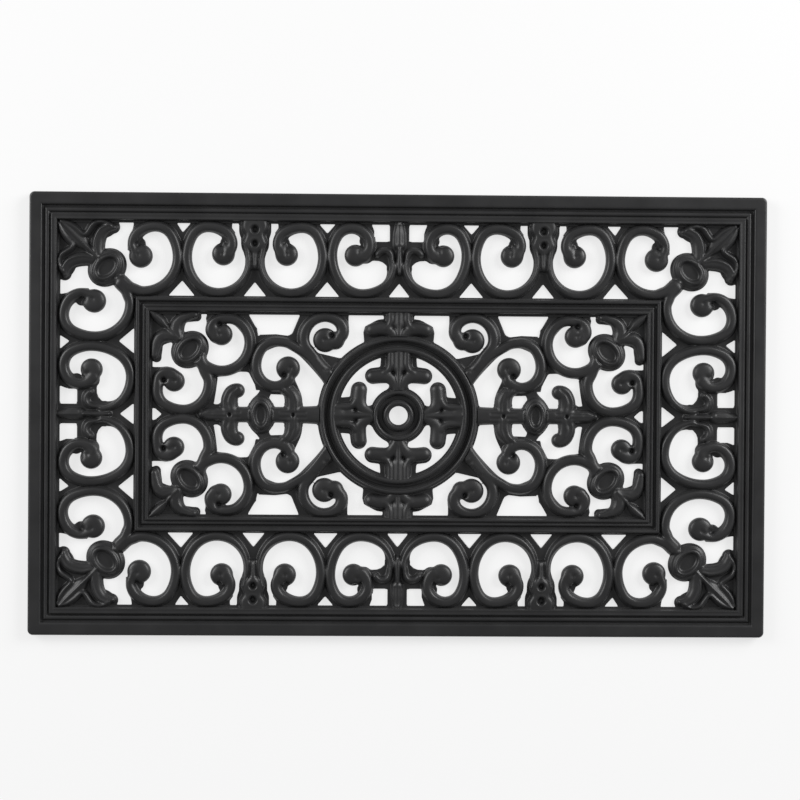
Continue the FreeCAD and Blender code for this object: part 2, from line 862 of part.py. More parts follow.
def turned(table):
    # The same route mirrored about the corner's diagonal
    rows = []
    for row in table:
        if len(row) == 4:
            rows.append((row[1], row[0], 90 - row[2], row[3]))
        else:
            rows.append((row[1], row[0]) + tuple(row[2:]))
    return rows


def makeCornerLeaves():
    field = Field(Vector(bandInnerX, bandInnerY, 0), bandDepthX, bandDepthY)
    place = field.place(*cornerOvalPlaceShares)
    boss, dish = ovalBoss(place, size("bossRadius"), 135, size("frameHeight"))
    solids = [boss, field.stroke(cornerStemShares), field.stroke(cornerSpearShares)]
    solids.append(field.web(cornerWebShares))
    for table in (cornerInnerLeafShares, cornerOuterLeafShares):
        solids.append(field.stroke(table))
        solids.append(field.stroke(turned(table)))
    near = stemSeamShare
    room = field.block([(near - 1, near + 1), (near + 1, near - 1), (near + 2, near + 2)])
    inside = field.block([(0, 0), (1, 0), (1, 1), (0, 1)])
    shape = joined(solids).cut(dish).common(room).common(inside)
    base = addShape(plainSolid(shape), "corner_leaf_ne")
    mirrored(base, "corner_leaf", "")


# Panel sprays: an oval boss with leaves and two scrolls. Shares of the panel's half sizes.

sprayUpperScrollShares = [
    (0.845, 0.600, 212, 0.56),
    (0.780, 0.475, 210, 0.56),
    (0.720, 0.434, 180, 0.54),
    (0.607, 0.718, 90, 0.51),
    (0.697, 0.958, 0, 0.50),
    (0.762, 0.845, 270, 0.60),
    (0.745, 0.780, 235, 0.66),
]
sprayUpperEyeShares = [(0.721, 0.800, 1.08), (0.731, 0.842, 0.62)]
sprayLowerScrollShares = [
    (0.822, 0.640, 240, 0.62),
    (0.790, 0.450, 250, 0.56),
    (0.770, 0.316, 270, 0.54),
    (0.874, 0.045, 0, 0.50),
    (0.980, 0.235, 90, 0.53),
    (0.940, 0.415, 180, 0.58),
    (0.915, 0.380, 240, 0.62),
]
sprayLowerEyeShares = [(0.912, 0.330, 1.04), (0.943, 0.345, 0.62)]
sprayOvalPlaceShares = (0.853, 0.635)
sprayOvalShare = 0.965
sprayPetalShares = [
    (0.905, 0.800, 45, 0.50),
    (0.960, 0.925, 45, 0.62),
    (1.020, 1.060, 45, 0.60),
]
sprayUpperLeafShares = [
    (0.880, 0.700, 70, 0.62),
    (0.898, 0.855, 95, 0.62),
    (0.860, 0.970, 175, 0.50),
    (0.822, 0.975, 180, 0.46),
]
spraySideLeafShares = [
    (0.880, 0.700, 35, 0.62),
    (0.926, 0.775, 0, 0.58),
    (0.980, 0.680, 272, 0.50),
    (0.984, 0.565, 270, 0.48),
]
sprayWebShares = [
    [(0.890, 0.760), (0.980, 0.670), (1.0, 0.690), (1.0, 1.0), (0.860, 1.0), (0.880, 0.900)],
    [(0.780, 1.0), (0.700, 0.940), (0.740, 0.900), (0.780, 0.900), (0.785, 0.960)],
    [(0.700, 1.0), (0.611, 1.0), (0.595, 0.930), (0.578, 0.860), (0.600, 0.720), (0.650, 0.850)],
    [(0.600, 0.500), (0.555, 0.700), (0.571, 0.782), (0.578, 0.860), (0.600, 0.900), (0.640, 0.560)],
    [(0.660, 0.430), (0.610, 0.425), (0.580, 0.600), (0.640, 0.550)],
    [(0.738, 0.370), (0.700, 0.410), (0.765, 0.420), (0.755, 0.280)],
    [(1.0, 0.470), (0.940, 0.470), (0.950, 0.400), (0.980, 0.280), (1.0, 0.250)],
    [(0.736, 0.360), (0.742, 0.240), (0.750, 0.120), (0.790, 0.120), (0.785, 0.360)],
    [(1.0, 0.200), (1.0, 0.066), (0.985, 0.050), (0.962, 0.0), (0.900, 0.0), (0.950, 0.080)],
]
sprayRingScrollSeamShares = [
    (0.570, 0.780),
    (0.630, 0.360),
    (0.400, 0.360),
    (0.400, 0.780),
]
spraySpearSeamShares = [
    (0.797, 0.0),
    (0.761, 0.120),
    (0.700, 0.120),
    (0.700, -0.040),
    (0.797, -0.040),
]


def panelField():
    return Field(Vector(0, 0, 0), panelX, panelY)


def makePanelSprays():
    field = panelField()
    place = field.place(*sprayOvalPlaceShares)
    boss, dish = ovalBoss(place, size("bossRadius") * sprayOvalShare, 135, size("frameHeight"))
    solids = [boss]
    solids += [field.eye(row) for row in sprayUpperEyeShares + sprayLowerEyeShares]
    solids += [field.web(rows) for rows in sprayWebShares]
    for table in (
        sprayUpperScrollShares,
        sprayLowerScrollShares,
        sprayPetalShares,
        sprayUpperLeafShares,
        spraySideLeafShares,
    ):
        solids.append(field.stroke(table))
    shape = joined(solids).cut(dish)
    shape = shape.common(field.block([(0, 0), (1, 0), (1, 1), (0, 1)]))
    shape = shape.cut(field.block(sprayRingScrollSeamShares))
    shape = shape.cut(field.block(spraySpearSeamShares))
    base = addShape(plainSolid(shape), "panel_spray_ne")
    mirrored(base, "panel_spray", "")


# Ring scrolls: a lower open scroll and an upper one on a common bar that runs to the ring

ringLowerScrollShares = [
    (0.268, 0.262, 58, 0.44),
    (0.352, 0.544, 50, 0.44),
    (0.440, 0.702, 30, 0.48),
    (0.500, 0.733, 0, 0.50),
    (0.581, 0.490, 270, 0.54),
    (0.502, 0.283, 180, 0.54),
    (0.448, 0.360, 110, 0.62),
]
ringLowerEyeShares = (0.450, 0.466, 1.18)
ringUpperScrollShares = [
    (0.250, 0.330, 50, 0.50),
    (0.338, 0.560, 56, 0.52),
    (0.387, 0.766, 90, 0.56),
    (0.300, 0.980, 180, 0.48),
    (0.228, 0.842, 270, 0.62),
    (0.255, 0.750, 320, 0.66),
]
ringUpperEyeShares = (0.300, 0.750, 1.20)
ringUpperKnuckleShares = (0.258, 0.745, 0.88)
ringScrollWebShares = [
    [(0.200, 0.300), (0.307, 0.345), (0.441, 0.690), (0.410, 0.850), (0.362, 0.640), (0.238, 0.570)],
    [(0.445, 0.700), (0.456, 0.775), (0.410, 0.850), (0.390, 0.740)],
    [(0.566, 0.800), (0.590, 0.640), (0.560, 0.620), (0.440, 0.740), (0.445, 0.790), (0.500, 0.806)],
    [(0.612, 0.430), (0.585, 0.300), (0.580, 0.245), (0.500, 0.245), (0.530, 0.290), (0.597, 0.600)],
    [(0.430, 0.245), (0.520, 0.245), (0.500, 0.300), (0.452, 0.310)],
    [(0.360, 1.0), (0.403, 1.0), (0.435, 0.810), (0.447, 0.790), (0.410, 0.700), (0.390, 0.850)],
    [(0.240, 1.0), (0.205, 1.0), (0.205, 0.880), (0.240, 0.880)],
]
ringSeamShare = 0.245
ringRoomShares = [
    (0.0, ringSeamShare),
    (0.640, ringSeamShare),
    (0.630, 0.360),
    (0.570, 0.780),
    (0.540, 1.0),
    (0.0, 1.0),
]


def ringDisc():
    disc = Part.makeCylinder(ringRadius, matHeight + overrun * 2)
    disc.translate(Vector(0, 0, -overrun))
    return disc


def makeRingScrolls():
    field = panelField()
    eyes = (ringLowerEyeShares, ringUpperEyeShares, ringUpperKnuckleShares)
    solids = [field.eye(row) for row in eyes]
    solids += [field.web(rows) for rows in ringScrollWebShares]
    for table in (ringLowerScrollShares, ringUpperScrollShares):
        solids.append(field.stroke(table))
    shape = joined(solids).cut(ringDisc()).common(field.block(ringRoomShares))
    base = addShape(plainSolid(shape), "ring_scrolls_ne")
    mirrored(base, "ring_scrolls", "")


# Side ornaments on the long axis

sideSpearShares = [
    (0.800, 0.0, 180, 0.34),
    (0.760, 0.0, 180, 0.60),
    (0.690, 0.0, 180, 0.60),
]
sideStemShares = [
    (0.740, 0.0, 180, 0.62),
    (0.640, 0.0, 180, 0.74),
    (0.500, 0.0, 180, 0.74),
    (0.400, 0.0, 180, 0.80),
    (0.250, 0.0, 180, 0.96),
]
sideFirstLeafShares = [
    (0.684, -0.020, 90, 0.80),
    (0.688, 0.125, 92, 0.84),
    (0.655, 0.240, 185, 0.72),
]
sideSecondLeafShares = [
    (0.427, -0.020, 90, 0.76),
    (0.427, 0.115, 90, 0.88),
    (0.448, 0.300, 65, 0.78),
]
sideOvalPlaceShares = (0.559, 0.0)
sideSpearWebShares = [
    (0.830, 0.0),
    (0.780, 0.100),
    (0.735, 0.098),
    (0.715, 0.120),
    (0.690, 0.100),
    (0.690, -0.100),
    (0.715, -0.120),
    (0.735, -0.098),
    (0.780, -0.100),
]
sideLinkWebShares = [
    (0.425, 0.120),
    (0.470, 0.201),
    (0.520, 0.205),
    (0.530, 0.150),
    (0.588, 0.160),
    (0.558, 0.260),
    (0.420, 0.260),
]
sideOvalLongShare = 0.98
sideOvalWideShare = 0.66
oblongLipShares = (1.05, 1.11)
oblongRimShares = (0.88, 0.88)
oblongCrestShares = (0.74, 0.72)
oblongDishShares = (0.58, 0.48)
oblongFloorShares = (0.40, 0.30)
sideRoomShares = [
    (0.0, -ringSeamShare),
    (0.600, -ringSeamShare),
    (0.610, -0.360),
    (0.730, -0.360),
    (0.761, -0.120),
    (0.797, 0.0),
    (0.761, 0.120),
    (0.730, 0.360),
    (0.610, 0.360),
    (0.600, ringSeamShare),
    (0.0, ringSeamShare),
]


def oblongBoss(place, long, wide, height):
    # An upright oval on an oval lip
    lip = ovalLoft(place, long, wide, 90, (oblongLipShares, 0), (oblongLipShares, lipHeight))
    rim = ovalLoft(place, long, wide, 90, (oblongRimShares, lipHeight / 2), (oblongCrestShares, height))
    floor = height - size("dishDepth")
    dish = ovalLoft(place, long, wide, 90, (oblongFloorShares, floor), (oblongDishShares, height))
    return lip.fuse(rim), dish


def mirrorDown(table):
    # The same route below the long axis
    rows = []
    for row in table:
        if len(row) == 4:
            rows.append((row[0], -row[1], -row[2], row[3]))
        else:
            rows.append((row[0], -row[1]) + tuple(row[2:]))
    return rows


def makeSideOrnaments():
    field = panelField()
    place = field.place(*sideOvalPlaceShares)
    long = size("bossRadius") * sideOvalLongShare
    wide = size("bossRadius") * sideOvalWideShare
    boss, dish = oblongBoss(place, long, wide, size("frameHeight"))
    solids = [field.stroke(sideStemShares), boss, field.stroke(sideSpearShares)]
    solids.append(field.web(sideSpearWebShares))
    for table in (sideFirstLeafShares, sideSecondLeafShares):
        solids.append(field.stroke(table))
        solids.append(field.stroke(mirrorDown(table)))
    solids.append(field.web(sideLinkWebShares))
    solids.append(field.web(mirrorDown(sideLinkWebShares)))
    shape = joined(solids).cut(dish).cut(ringDisc()).common(field.block(sideRoomShares))
    base = addShape(plainSolid(shape), "side_ornament_east")
    addMirror(base, Vector(1, 0, 0), "side_ornament_west")


# Top and bottom ornaments between ring and panel frame

topPetalShares = [
    (0.0, 0.800, 90, 0.44),
    (0.0, 1.060, 90, 0.44),
]
topSidePetalShares = [
    (0.033, 0.880, 90, 0.42),
    (0.033, 1.060, 90, 0.42),
]
topLeafShares = [
    (0.0, 0.845, 0, 0.72),
    (0.070, 0.870, 0, 0.86),
    (0.108, 0.840, 340, 0.74),
]
topWebShares = [
    (-0.140, 0.700),
    (0.140, 0.700),
    (0.145, 0.830),
    (0.138, 0.890),
    (0.085, 0.955),
    (0.062, 0.965),
    (0.062, 1.020),
    (-0.062, 1.020),
    (-0.062, 0.965),
    (-0.085, 0.955),
    (-0.138, 0.890),
    (-0.145, 0.830),
]


def makeTopOrnaments():
    field = panelField()
    solids = [field.stroke(topPetalShares), field.web(topWebShares)]
    solids += bothSides(field, topSidePetalShares)
    solids += bothSides(field, topLeafShares)
    shape = joined(solids).cut(ringDisc())
    shape = shape.common(field.block([(-1, 0), (1, 0), (1, 1), (-1, 1)]))
    base = addShape(plainSolid(shape), "top_ornament_north")
    addMirror(base, Vector(0, 1, 0), "top_ornament_south")


# Ring leaves: three petals over two leaves, between the hub and the ring

ringPetalShares = [
    (0.0, 0.420, 90, 0.44),
    (0.0, 1.060, 90, 0.42),
]
ringSidePetalShares = [
    (0.139, 0.720, 90, 0.42),
    (0.139, 1.060, 90, 0.42),
]
ringLeafShares = [
    (0.0, 0.665, 0, 0.88),
    (0.210, 0.672, 0, 0.82),
    (0.425, 0.655, 352, 0.80),
]
ringStemShares = [
    (0.0, 0.400, 90, 0.95),
    (0.0, 0.530, 90, 0.90),
    (0.0, 0.670, 90, 1.20),
]
ringLeafWebShares = [
    (-0.310, 0.780),
    (0.310, 0.780),
    (0.285, 1.060),
    (-0.285, 1.060),
]


def makeRingLeaf(field, label):
    solids = [field.stroke(ringPetalShares), field.stroke(ringStemShares)]
    solids.append(field.web(ringLeafWebShares))
    solids += bothSides(field, ringSidePetalShares)
    solids += bothSides(field, ringLeafShares)
    inner = Part.makeCylinder(ringInner, matHeight + overrun * 2)
    inner.translate(Vector(0, 0, -overrun))
    core = Part.makeCylinder(size("hubRadius"), matHeight + overrun * 2)
    core.translate(Vector(0, 0, -overrun))
    shape = joined(solids).common(inner).cut(core)
    return addShape(plainSolid(shape), label)


def makeRingLeaves():
    north = makeRingLeaf(Field(Vector(0, 0, 0), ringInner, ringInner), "ring_leaf_north")
    east = makeRingLeaf(Field(Vector(0, 0, 0), ringInner, ringInner, True), "ring_leaf_east")
    addMirror(north, Vector(0, 1, 0), "ring_leaf_south")
    addMirror(east, Vector(1, 0, 0), "ring_leaf_west")


makeBorder()
makePanelFrame()
makeRing()
makeHub()
makePostScrolls()
makeLeafScrolls()
makeCornerScrolls()
makePosts()
makeSideLeaves()
makeCornerLeaves()
makePanelSprays()
makeRingScrolls()
makeSideOrnaments()
makeTopOrnaments()
makeRingLeaves()
doc.recompute()


# Check every object, then write each piece to its own file

def checkDocument():
    faults = []
    for item in doc.Objects:
        if "Invalid" in item.State or "Error" in item.State:
            faults.append(item.Label + " is in error")
    for item in nodes:
        shape = item.Shape
        if shape.isNull() or not shape.isValid() or not shape.Solids:
            faults.append(item.Label + " has no sound shape")
        elif len(shape.Solids) != 1:
            faults.append(item.Label + " is in %d solids" % len(shape.Solids))
    if faults:
        raise RuntimeError("; ".join(faults))


def writeParts():
    os.makedirs("parts", exist_ok=True)
    for item in nodes:
        item.Shape.exportStep(os.path.join("parts", item.Label + ".step"))


checkDocument()
writeParts()
print("%d pieces written" % len(nodes))
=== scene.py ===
import math

import bmesh
import bpy
import numpy as np
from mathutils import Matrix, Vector


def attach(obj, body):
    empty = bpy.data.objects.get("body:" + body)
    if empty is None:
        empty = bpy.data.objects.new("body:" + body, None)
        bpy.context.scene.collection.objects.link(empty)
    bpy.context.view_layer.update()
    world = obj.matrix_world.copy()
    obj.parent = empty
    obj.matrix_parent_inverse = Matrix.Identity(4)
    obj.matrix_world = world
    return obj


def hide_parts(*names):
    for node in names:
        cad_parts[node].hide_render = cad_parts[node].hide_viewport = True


# Looks of a moulded rubber doormat with an open scrollwork pattern.
# Lengths are in millimetres until a mesh is made, which is in metres.

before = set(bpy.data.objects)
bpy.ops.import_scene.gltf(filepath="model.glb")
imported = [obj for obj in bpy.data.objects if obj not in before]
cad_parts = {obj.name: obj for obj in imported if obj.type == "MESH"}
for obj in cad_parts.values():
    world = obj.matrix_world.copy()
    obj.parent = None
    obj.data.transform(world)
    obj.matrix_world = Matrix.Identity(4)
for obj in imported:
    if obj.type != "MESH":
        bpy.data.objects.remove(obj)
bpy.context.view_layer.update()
print("frame loaded: %d nodes" % len(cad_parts))

# Sizes shared with the CAD model
matSizes = {
    "length": 762.0,
    "width": 457.0,
    "cornerRadius": 5.0,
    "lipHeight": 3.4,
    "barWidth": 10.5,
    "barRise": 5.0,
    "barLedge": 0.35,
    "cellLength": 74.7,
    "sideCellLength": 75.0,
    "ringRadius": 84.0,
    "ringInner": 62.4,
    "hubRadius": 29.5,
    "hubHole": 9.7,
}
lip = matSizes["lipHeight"]
bandInner = (273.5, 122.5)
bandOuter = (350.0, 197.5)
bandDepth = (bandOuter[0] - bandInner[0], bandOuter[1] - bandInner[1])
panel = (254.5, 103.5)
postX = matSizes["cellLength"] * 2
cornerStart = (matSizes["cellLength"] * 3, matSizes["sideCellLength"])

# Spacing of the relief mesh and of the rows along a rail, and degrees between the rows round the ring
fineness = {
    "relief": 0.67,
    "rail": 1.5,
    "turn": 0.9,
}


# Relief grid over the north-east quarter. The other quarters are its mirror images.

gridStep = 0.5
gridMargin = 12.0
openDistance = 40.0
farAway = 1e9
# How far beyond its own size a shape changes the outline, and the relief
outlineMargin = 5
reliefMargin = 2
# A bell has faded at this many widths
bellReach = 3
gridX = np.arange(-gridMargin, matSizes["length"] / 2 + 2, gridStep)
gridY = np.arange(-gridMargin, matSizes["width"] / 2 + 2, gridStep)
outline = np.full((len(gridY), len(gridX)), openDistance)
relief = np.zeros((len(gridY), len(gridX)))

moulding = {
    "outlineFillet": 1.6,
    "crownPower": 3.0,
    "crownRoundness": 0.70,
    "crownBase": 0.30,
    "wallSteepness": 12,
    "softRoundness": 0.7,
    "reliefBlend": 7.0,
    "softening": 0.75,
    "webDrop": 1.3,
    "dimpleEdge": 0.25,
    "arcStep": 3.0,
    "fewestArcSteps": 3,
}


def gridSlice(values, axis, reach):
    first = int((values.min() - reach - axis[0]) / gridStep)
    last = int((values.max() + reach - axis[0]) / gridStep) + 2
    return slice(max(first, 0), min(last, len(axis)))


def windowAround(places, reach):
    # The part of the grid round some places, and its spots as complex numbers
    places = np.atleast_1d(places)
    columns = gridSlice(places.real, gridX, reach)
    rows = gridSlice(places.imag, gridY, reach)
    return (rows, columns), gridX[columns][None, :] + 1j * gridY[rows][:, None]


def smoothMin(first, second, reach):
    overlap = np.maximum(reach - np.abs(first - second), 0) / reach
    return np.minimum(first, second) - overlap * overlap * reach * 0.25


def addOutline(window, distance):
    outline[window] = smoothMin(outline[window], distance, moulding["outlineFillet"])


def addRelief(window, height):
    power = moulding["reliefBlend"]
    relief[window] = (relief[window] ** power + np.maximum(height, 0) ** power) ** (1 / power)


def lift(window, height):
    relief[window] = np.maximum(relief[window] + height, 0)


def smooth(share):
    share = np.clip(share, 0, 1)
    return share * share * (3 - 2 * share)


def crown(acrossShare):
    # A low wall at the sides, and a rounded top on it
    inside = np.clip(1 - np.abs(acrossShare) ** moulding["crownPower"], 0, 1)
    wall = np.clip(inside * moulding["wallSteepness"], 0, 1) * moulding["crownBase"]
    return wall + inside ** moulding["crownRoundness"] * (1 - moulding["crownBase"])


def softCrown(acrossShare):
    # Rounded down to its sides without a wall
    return np.clip(1 - acrossShare ** 2, 0, 1) ** moulding["softRoundness"]


# Routes of circular arcs; places are complex numbers

def cross(first, second):
    return (first.conjugate() * second).imag


def dot(first, second):
    return (first.conjugate() * second).real


def arcPlaces(start, heading, end, count):
    chord = end - start
    turn = math.atan2(cross(heading, chord), dot(heading, chord))
    steps = np.linspace(0, 1, count + 1)[1:]
    if abs(turn) < 1e-4:
        return start + chord * steps
    radius = abs(chord) / (2 * math.sin(turn))
    centre = start + heading * 1j * radius
    return centre + (start - centre) * np.exp(2j * turn * steps)


def biarc(start, startHeading, end, endHeading):
    chord = end - start
    both = startHeading + endHeading
    spread = 2 * (1 - dot(startHeading, endHeading))
    along = dot(chord, both)
    if spread < 1e-9:
        reach = abs(chord) ** 2 / (2 * along)
    else:
        reach = (-along + math.sqrt(along * along + spread * abs(chord) ** 2)) / spread
    joint = (start + end + (startHeading - endHeading) * reach) * 0.5
    jointHeading = end - endHeading * reach - start - startHeading * reach
    jointHeading /= abs(jointHeading)
    count = max(moulding["fewestArcSteps"], int(abs(chord) / moulding["arcStep"]))
    first = arcPlaces(start, startHeading, joint, count)
    second = arcPlaces(joint, jointHeading, end, count)
    return np.concatenate([first, second])


def route(stops):
    places = [np.array([stops[0][0]])]
    halves = [np.array([stops[0][2]])]
    for (start, startHeading, startHalf), (end, endHeading, endHalf) in zip(stops, stops[1:]):
        run = biarc(start, startHeading, end, endHeading)
        share = smooth(np.linspace(0, 1, len(run) + 1)[1:])
        places.append(run)
        halves.append(startHalf + (endHalf - startHalf) * share)
    return np.concatenate(places), np.concatenate(halves)


def segmentGap(start, end, spots):
    # Distance of the spots from a straight run, and the share of the run that is nearest
    step = end - start
    span = spots - start
    share = np.clip((span.real * step.real + span.imag * step.imag) / abs(step) ** 2, 0, 1)
    return np.abs(span - step * share), share


def routeDistance(places, halves, spots, ledge):
    # Distance beyond the route's side, and the share across it without the ledge
    beyond = np.full(spots.shape, farAway)
    across = np.full(spots.shape, farAway)
    for start, end, startHalf, endHalf in zip(places, places[1:], halves, halves[1:]):
        reach, share = segmentGap(start, end, spots)
        half = startHalf + (endHalf - startHalf) * share
        nearer = reach - half < beyond
        beyond = np.where(nearer, reach - half, beyond)
        across = np.where(nearer, reach / (half - ledge), across)
    return beyond, across


def addBar(stops, rise):
    places, halves = route(stops)
    window, spots = windowAround(places, halves.max() + outlineMargin)
    beyond, across = routeDistance(places, halves, spots, matSizes["barLedge"])
    addOutline(window, beyond)
    addRelief(window, rise * crown(across))


def addCrest(stops, rise, shape):
    # Relief alone, on a piece whose outline is already there
    places, halves = route(stops)
    window, spots = windowAround(places, halves.max() + reliefMargin)
    addRelief(window, rise * shape(routeDistance(places, halves, spots, 0)[1]))


def addEye(place, radius, rise):
    window, spots = windowAround(place, radius + outlineMargin)
    reach = np.abs(spots - place)
    addOutline(window, reach - radius)
    addRelief(window, rise * crown(reach / (radius - matSizes["barLedge"])))


def polygonDistance(places, spots):
    # Distance outside the polygon, below 0 inside it
    nearest = np.full(spots.shape, farAway)
    inside = np.zeros(spots.shape, bool)
    for start, end in zip(places, np.roll(places, -1)):
        nearest = np.minimum(nearest, segmentGap(start, end, spots)[0])
        if start.imag != end.imag:
            step = end - start
            crossing = (start.imag > spots.imag) != (end.imag > spots.imag)
            edge = start.real + (spots.imag - start.imag) * step.real / step.imag
            inside ^= crossing & (spots.real < edge)
    return np.where(inside, -nearest, nearest)


def addWeb(places):
    places = np.array(places)
    window, spots = windowAround(places, outlineMargin)
    addOutline(window, polygonDistance(places, spots))


def addBody(places, edge, rise):
    # A raised body inside an outline, rounded down over the edge's width
    places = np.array(places)
    window, spots = windowAround(places, reliefMargin)
    addRelief(window, rise * crown(np.clip(1 + polygonDistance(places, spots) / edge, 0, 2)))


def addRidge(places, width, rise):
    # A thin ridge, or with a rise below 0 a groove, along straight runs
    places = np.array(places)
    window, spots = windowAround(places, width * bellReach)
    away = np.full(spots.shape, farAway)
    for start, end in zip(places, places[1:]):
        away = np.minimum(away, segmentGap(start, end, spots)[0])
    lift(window, rise * np.exp(-(away / width) ** 2))


def addDimple(place, radius, depth):
    window, spots = windowAround(place, radius * 2)
    edge = radius * moulding["dimpleEdge"]
    lift(window, -depth * smooth((radius + edge - np.abs(spots - place)) / (2 * edge)))


def addRim(place, radius, width, rise):
    # A round ridge, or with a rise below 0 a groove; with no radius, a bump or a hollow
    window, spots = windowAround(place, radius + width * bellReach)
    lift(window, rise * np.exp(-((np.abs(spots - place) - radius) / width) ** 2))


curl = {
    "grooveWidth": 2.2,
    "grooveDepth": 0.8,
    "grooveStart": 0.9,
    "bendPlace": 0.45,
    "bulge": 0.34,
    "tongueWidth": 1.2,
    "tongueRise": 0.1,
    "tongueGap": 2.3,
    "pocketGap": 0.3,
    "pocketRadius": 4.2,
    "pocketDepth": 2.2,
    "coreRadius": 2.5,
    "coreDepth": 4.0,
    "pitRadius": 2.1,
    "pitDepth": 0.7,
    "ripple": 0.03,
    "rippleStep": 2.6,
    "rippleFade": 3.0,
    "places": 9,
    "tonguePlaces": 7,
}


def addCurl(place, notch, turn, reach):
    # A dark notch, a bent groove from it to a small pit, and a tongue beside the groove
    window, spots = windowAround(place, reach + outlineMargin)
    away = np.abs(spots - place)
    fade = np.clip((reach - away) / curl["rippleFade"], 0, 1)
    relief[window] += curl["ripple"] * np.cos(away * (2 * math.pi / curl["rippleStep"])) * fade
    side = notch * 1j * turn
    share = np.linspace(0, 1, curl["places"])
    bend = (notch * curl["bendPlace"] + side * curl["bulge"]) * reach
    start = notch * reach * curl["grooveStart"]
    groove = place + (1 - share) ** 2 * start + 2 * share * (1 - share) * bend
    addRidge(groove, curl["grooveWidth"], -curl["grooveDepth"])
    tongue = groove[:curl["tonguePlaces"]] + side * curl["tongueGap"]
    addRidge(tongue, curl["tongueWidth"], curl["tongueRise"])
    pocket = place + notch * (reach + curl["pocketGap"])
    addRim(pocket, 0, curl["pocketRadius"], -curl["pocketDepth"])
    addDimple(pocket, curl["coreRadius"], curl["coreDepth"])
    addRim(place, 0, curl["pitRadius"], -curl["pitDepth"])


oval = {
    "rise": 5.6,
    "crestPlace": 2.0,
    "rimWidth": 5.2,
    "dishDepth": 4.2,
    "dishEdge": 1.1,
    "beadRise": 2.2,
    "beadPlace": 6.6,
    "beadWidth": 2.8,
    "joinStart": 4.5,
    "joinWidth": 2.0,
    "beadEdge": 1.0,
    "leastShare": 0.2,
}


def addOval(place, dish, flange, angle):
    # A dish in a crowned rim, then a groove and a low bead round it, on a round or oval flange
    window, spots = windowAround(place, max(flange) + outlineMargin)
    local = (spots - place) * np.exp(-1j * math.radians(angle))
    reach = np.hypot(local.real / flange[0], local.imag / flange[1])
    size = math.sqrt(flange[0] * flange[1])
    addOutline(window, (reach - 1) * size)
    # Millimetres out from the dish's edge
    away = np.hypot(local.real / dish[0], local.imag / dish[1])
    away = (away - 1) / np.maximum(away, oval["leastShare"]) * np.abs(local)
    rim = np.clip((away - oval["crestPlace"]) / (oval["rimWidth"] - oval["crestPlace"]), 0, 1)
    crest = oval["rise"] * np.sqrt(1 - rim * rim)
    edge = np.clip((1 - reach) * size - oval["beadEdge"], 0, 1)
    bead = oval["beadRise"] * np.exp(-((away - oval["beadPlace"]) / oval["beadWidth"]) ** 2) * edge
    joining = relief[window] * np.clip((away - oval["joinStart"]) / oval["joinWidth"], 0, 1)
    hollow = oval["dishDepth"] * smooth((oval["dishEdge"] - away) / (2 * oval["dishEdge"]))
    own = np.maximum(np.maximum(crest, bead), joining) - hollow
    relief[window] = np.where(reach < 1, own, relief[window])


class Field:
    # Turns shares across a cell and into its depth into places
    def __init__(self, origin, along, depth, swapped=False):
        self.origin = origin
        self.along = along
        self.depth = depth
        self.swapped = swapped
        self.hand = (-1 if along < 0 else 1) * (-1 if swapped else 1)

    def place(self, alongShare, depthShare):
        across = alongShare * self.along
        into = depthShare * self.depth
        return self.origin + (complex(into, across) if self.swapped else complex(across, into))

    def heading(self, degrees):
        direction = complex(math.cos(math.radians(degrees)), math.sin(math.radians(degrees)))
        if self.along < 0:
            direction = complex(-direction.real, direction.imag)
        if self.swapped:
            direction = complex(direction.imag, direction.real)
        return direction

    def stops(self, table, width):
        return [(self.place(row[0], row[1]), self.heading(row[2]), row[3] * width) for row in table]

    def bar(self, table, rise=matSizes["barRise"]):
        addBar(self.stops(table, matSizes["barWidth"]), rise)

    def flange(self, table):
        addBar(self.stops(table, matSizes["barWidth"]), 0)

    def tube(self, table):
        addCrest(self.stops(table, matSizes["barWidth"]), matSizes["barRise"], crown)

    def crests(self, looks, change=list):
        # Rises, each with its rows, whose half widths are in millimetres
        for rise, table in looks:
            addCrest(self.stops(change(table), 1), rise, softCrown)

    def eye(self, row, rise=matSizes["barRise"]):
        addEye(self.place(row[0], row[1]), row[2] * matSizes["barWidth"], rise)

    def curl(self, row, reach):
        # Share along, share of depth, heading of the notch, and the way round
        addCurl(self.place(row[0], row[1]), self.heading(row[2]), row[3] * self.hand, reach)

    def body(self, rows, edge, rise):
        # The rows give the right half of an outline that is alike on both sides
        addBody([self.place(*row) for row in rows + flipped(rows[::-1])], edge, rise)

    def rim(self, row, radius, width, rise):
        addRim(self.place(*row), radius, width, rise)

    def web(self, rows):
        addWeb([self.place(*row) for row in rows])

    def ridges(self, looks, change=list):
        # Widths and rises, each with its rows
        for width, rise, rows in looks:
            addRidge([self.place(*row) for row in change(rows)], width, rise)

    def dimple(self, row, radius, depth):
        addDimple(self.place(*row), radius, depth)

    def oval(self, row, dish, flange, angle):
        addOval(self.place(*row), dish, flange, angle)

    def room(self, rows):
        return np.array([self.place(*row) for row in rows])


# Tables turned over. A row is a place, and may go on with a heading and a half width.

def flipped(table):
    return [(-row[0], row[1]) + tuple(180 - angle for angle in row[2:3]) + row[3:] for row in table]


def turned(table):
    return [(row[1], row[0]) + tuple(90 - angle for angle in row[2:3]) + row[3:] for row in table]


def lowered(table):
    return [(row[0], -row[1]) + tuple(-angle for angle in row[2:3]) + row[3:] for row in table]


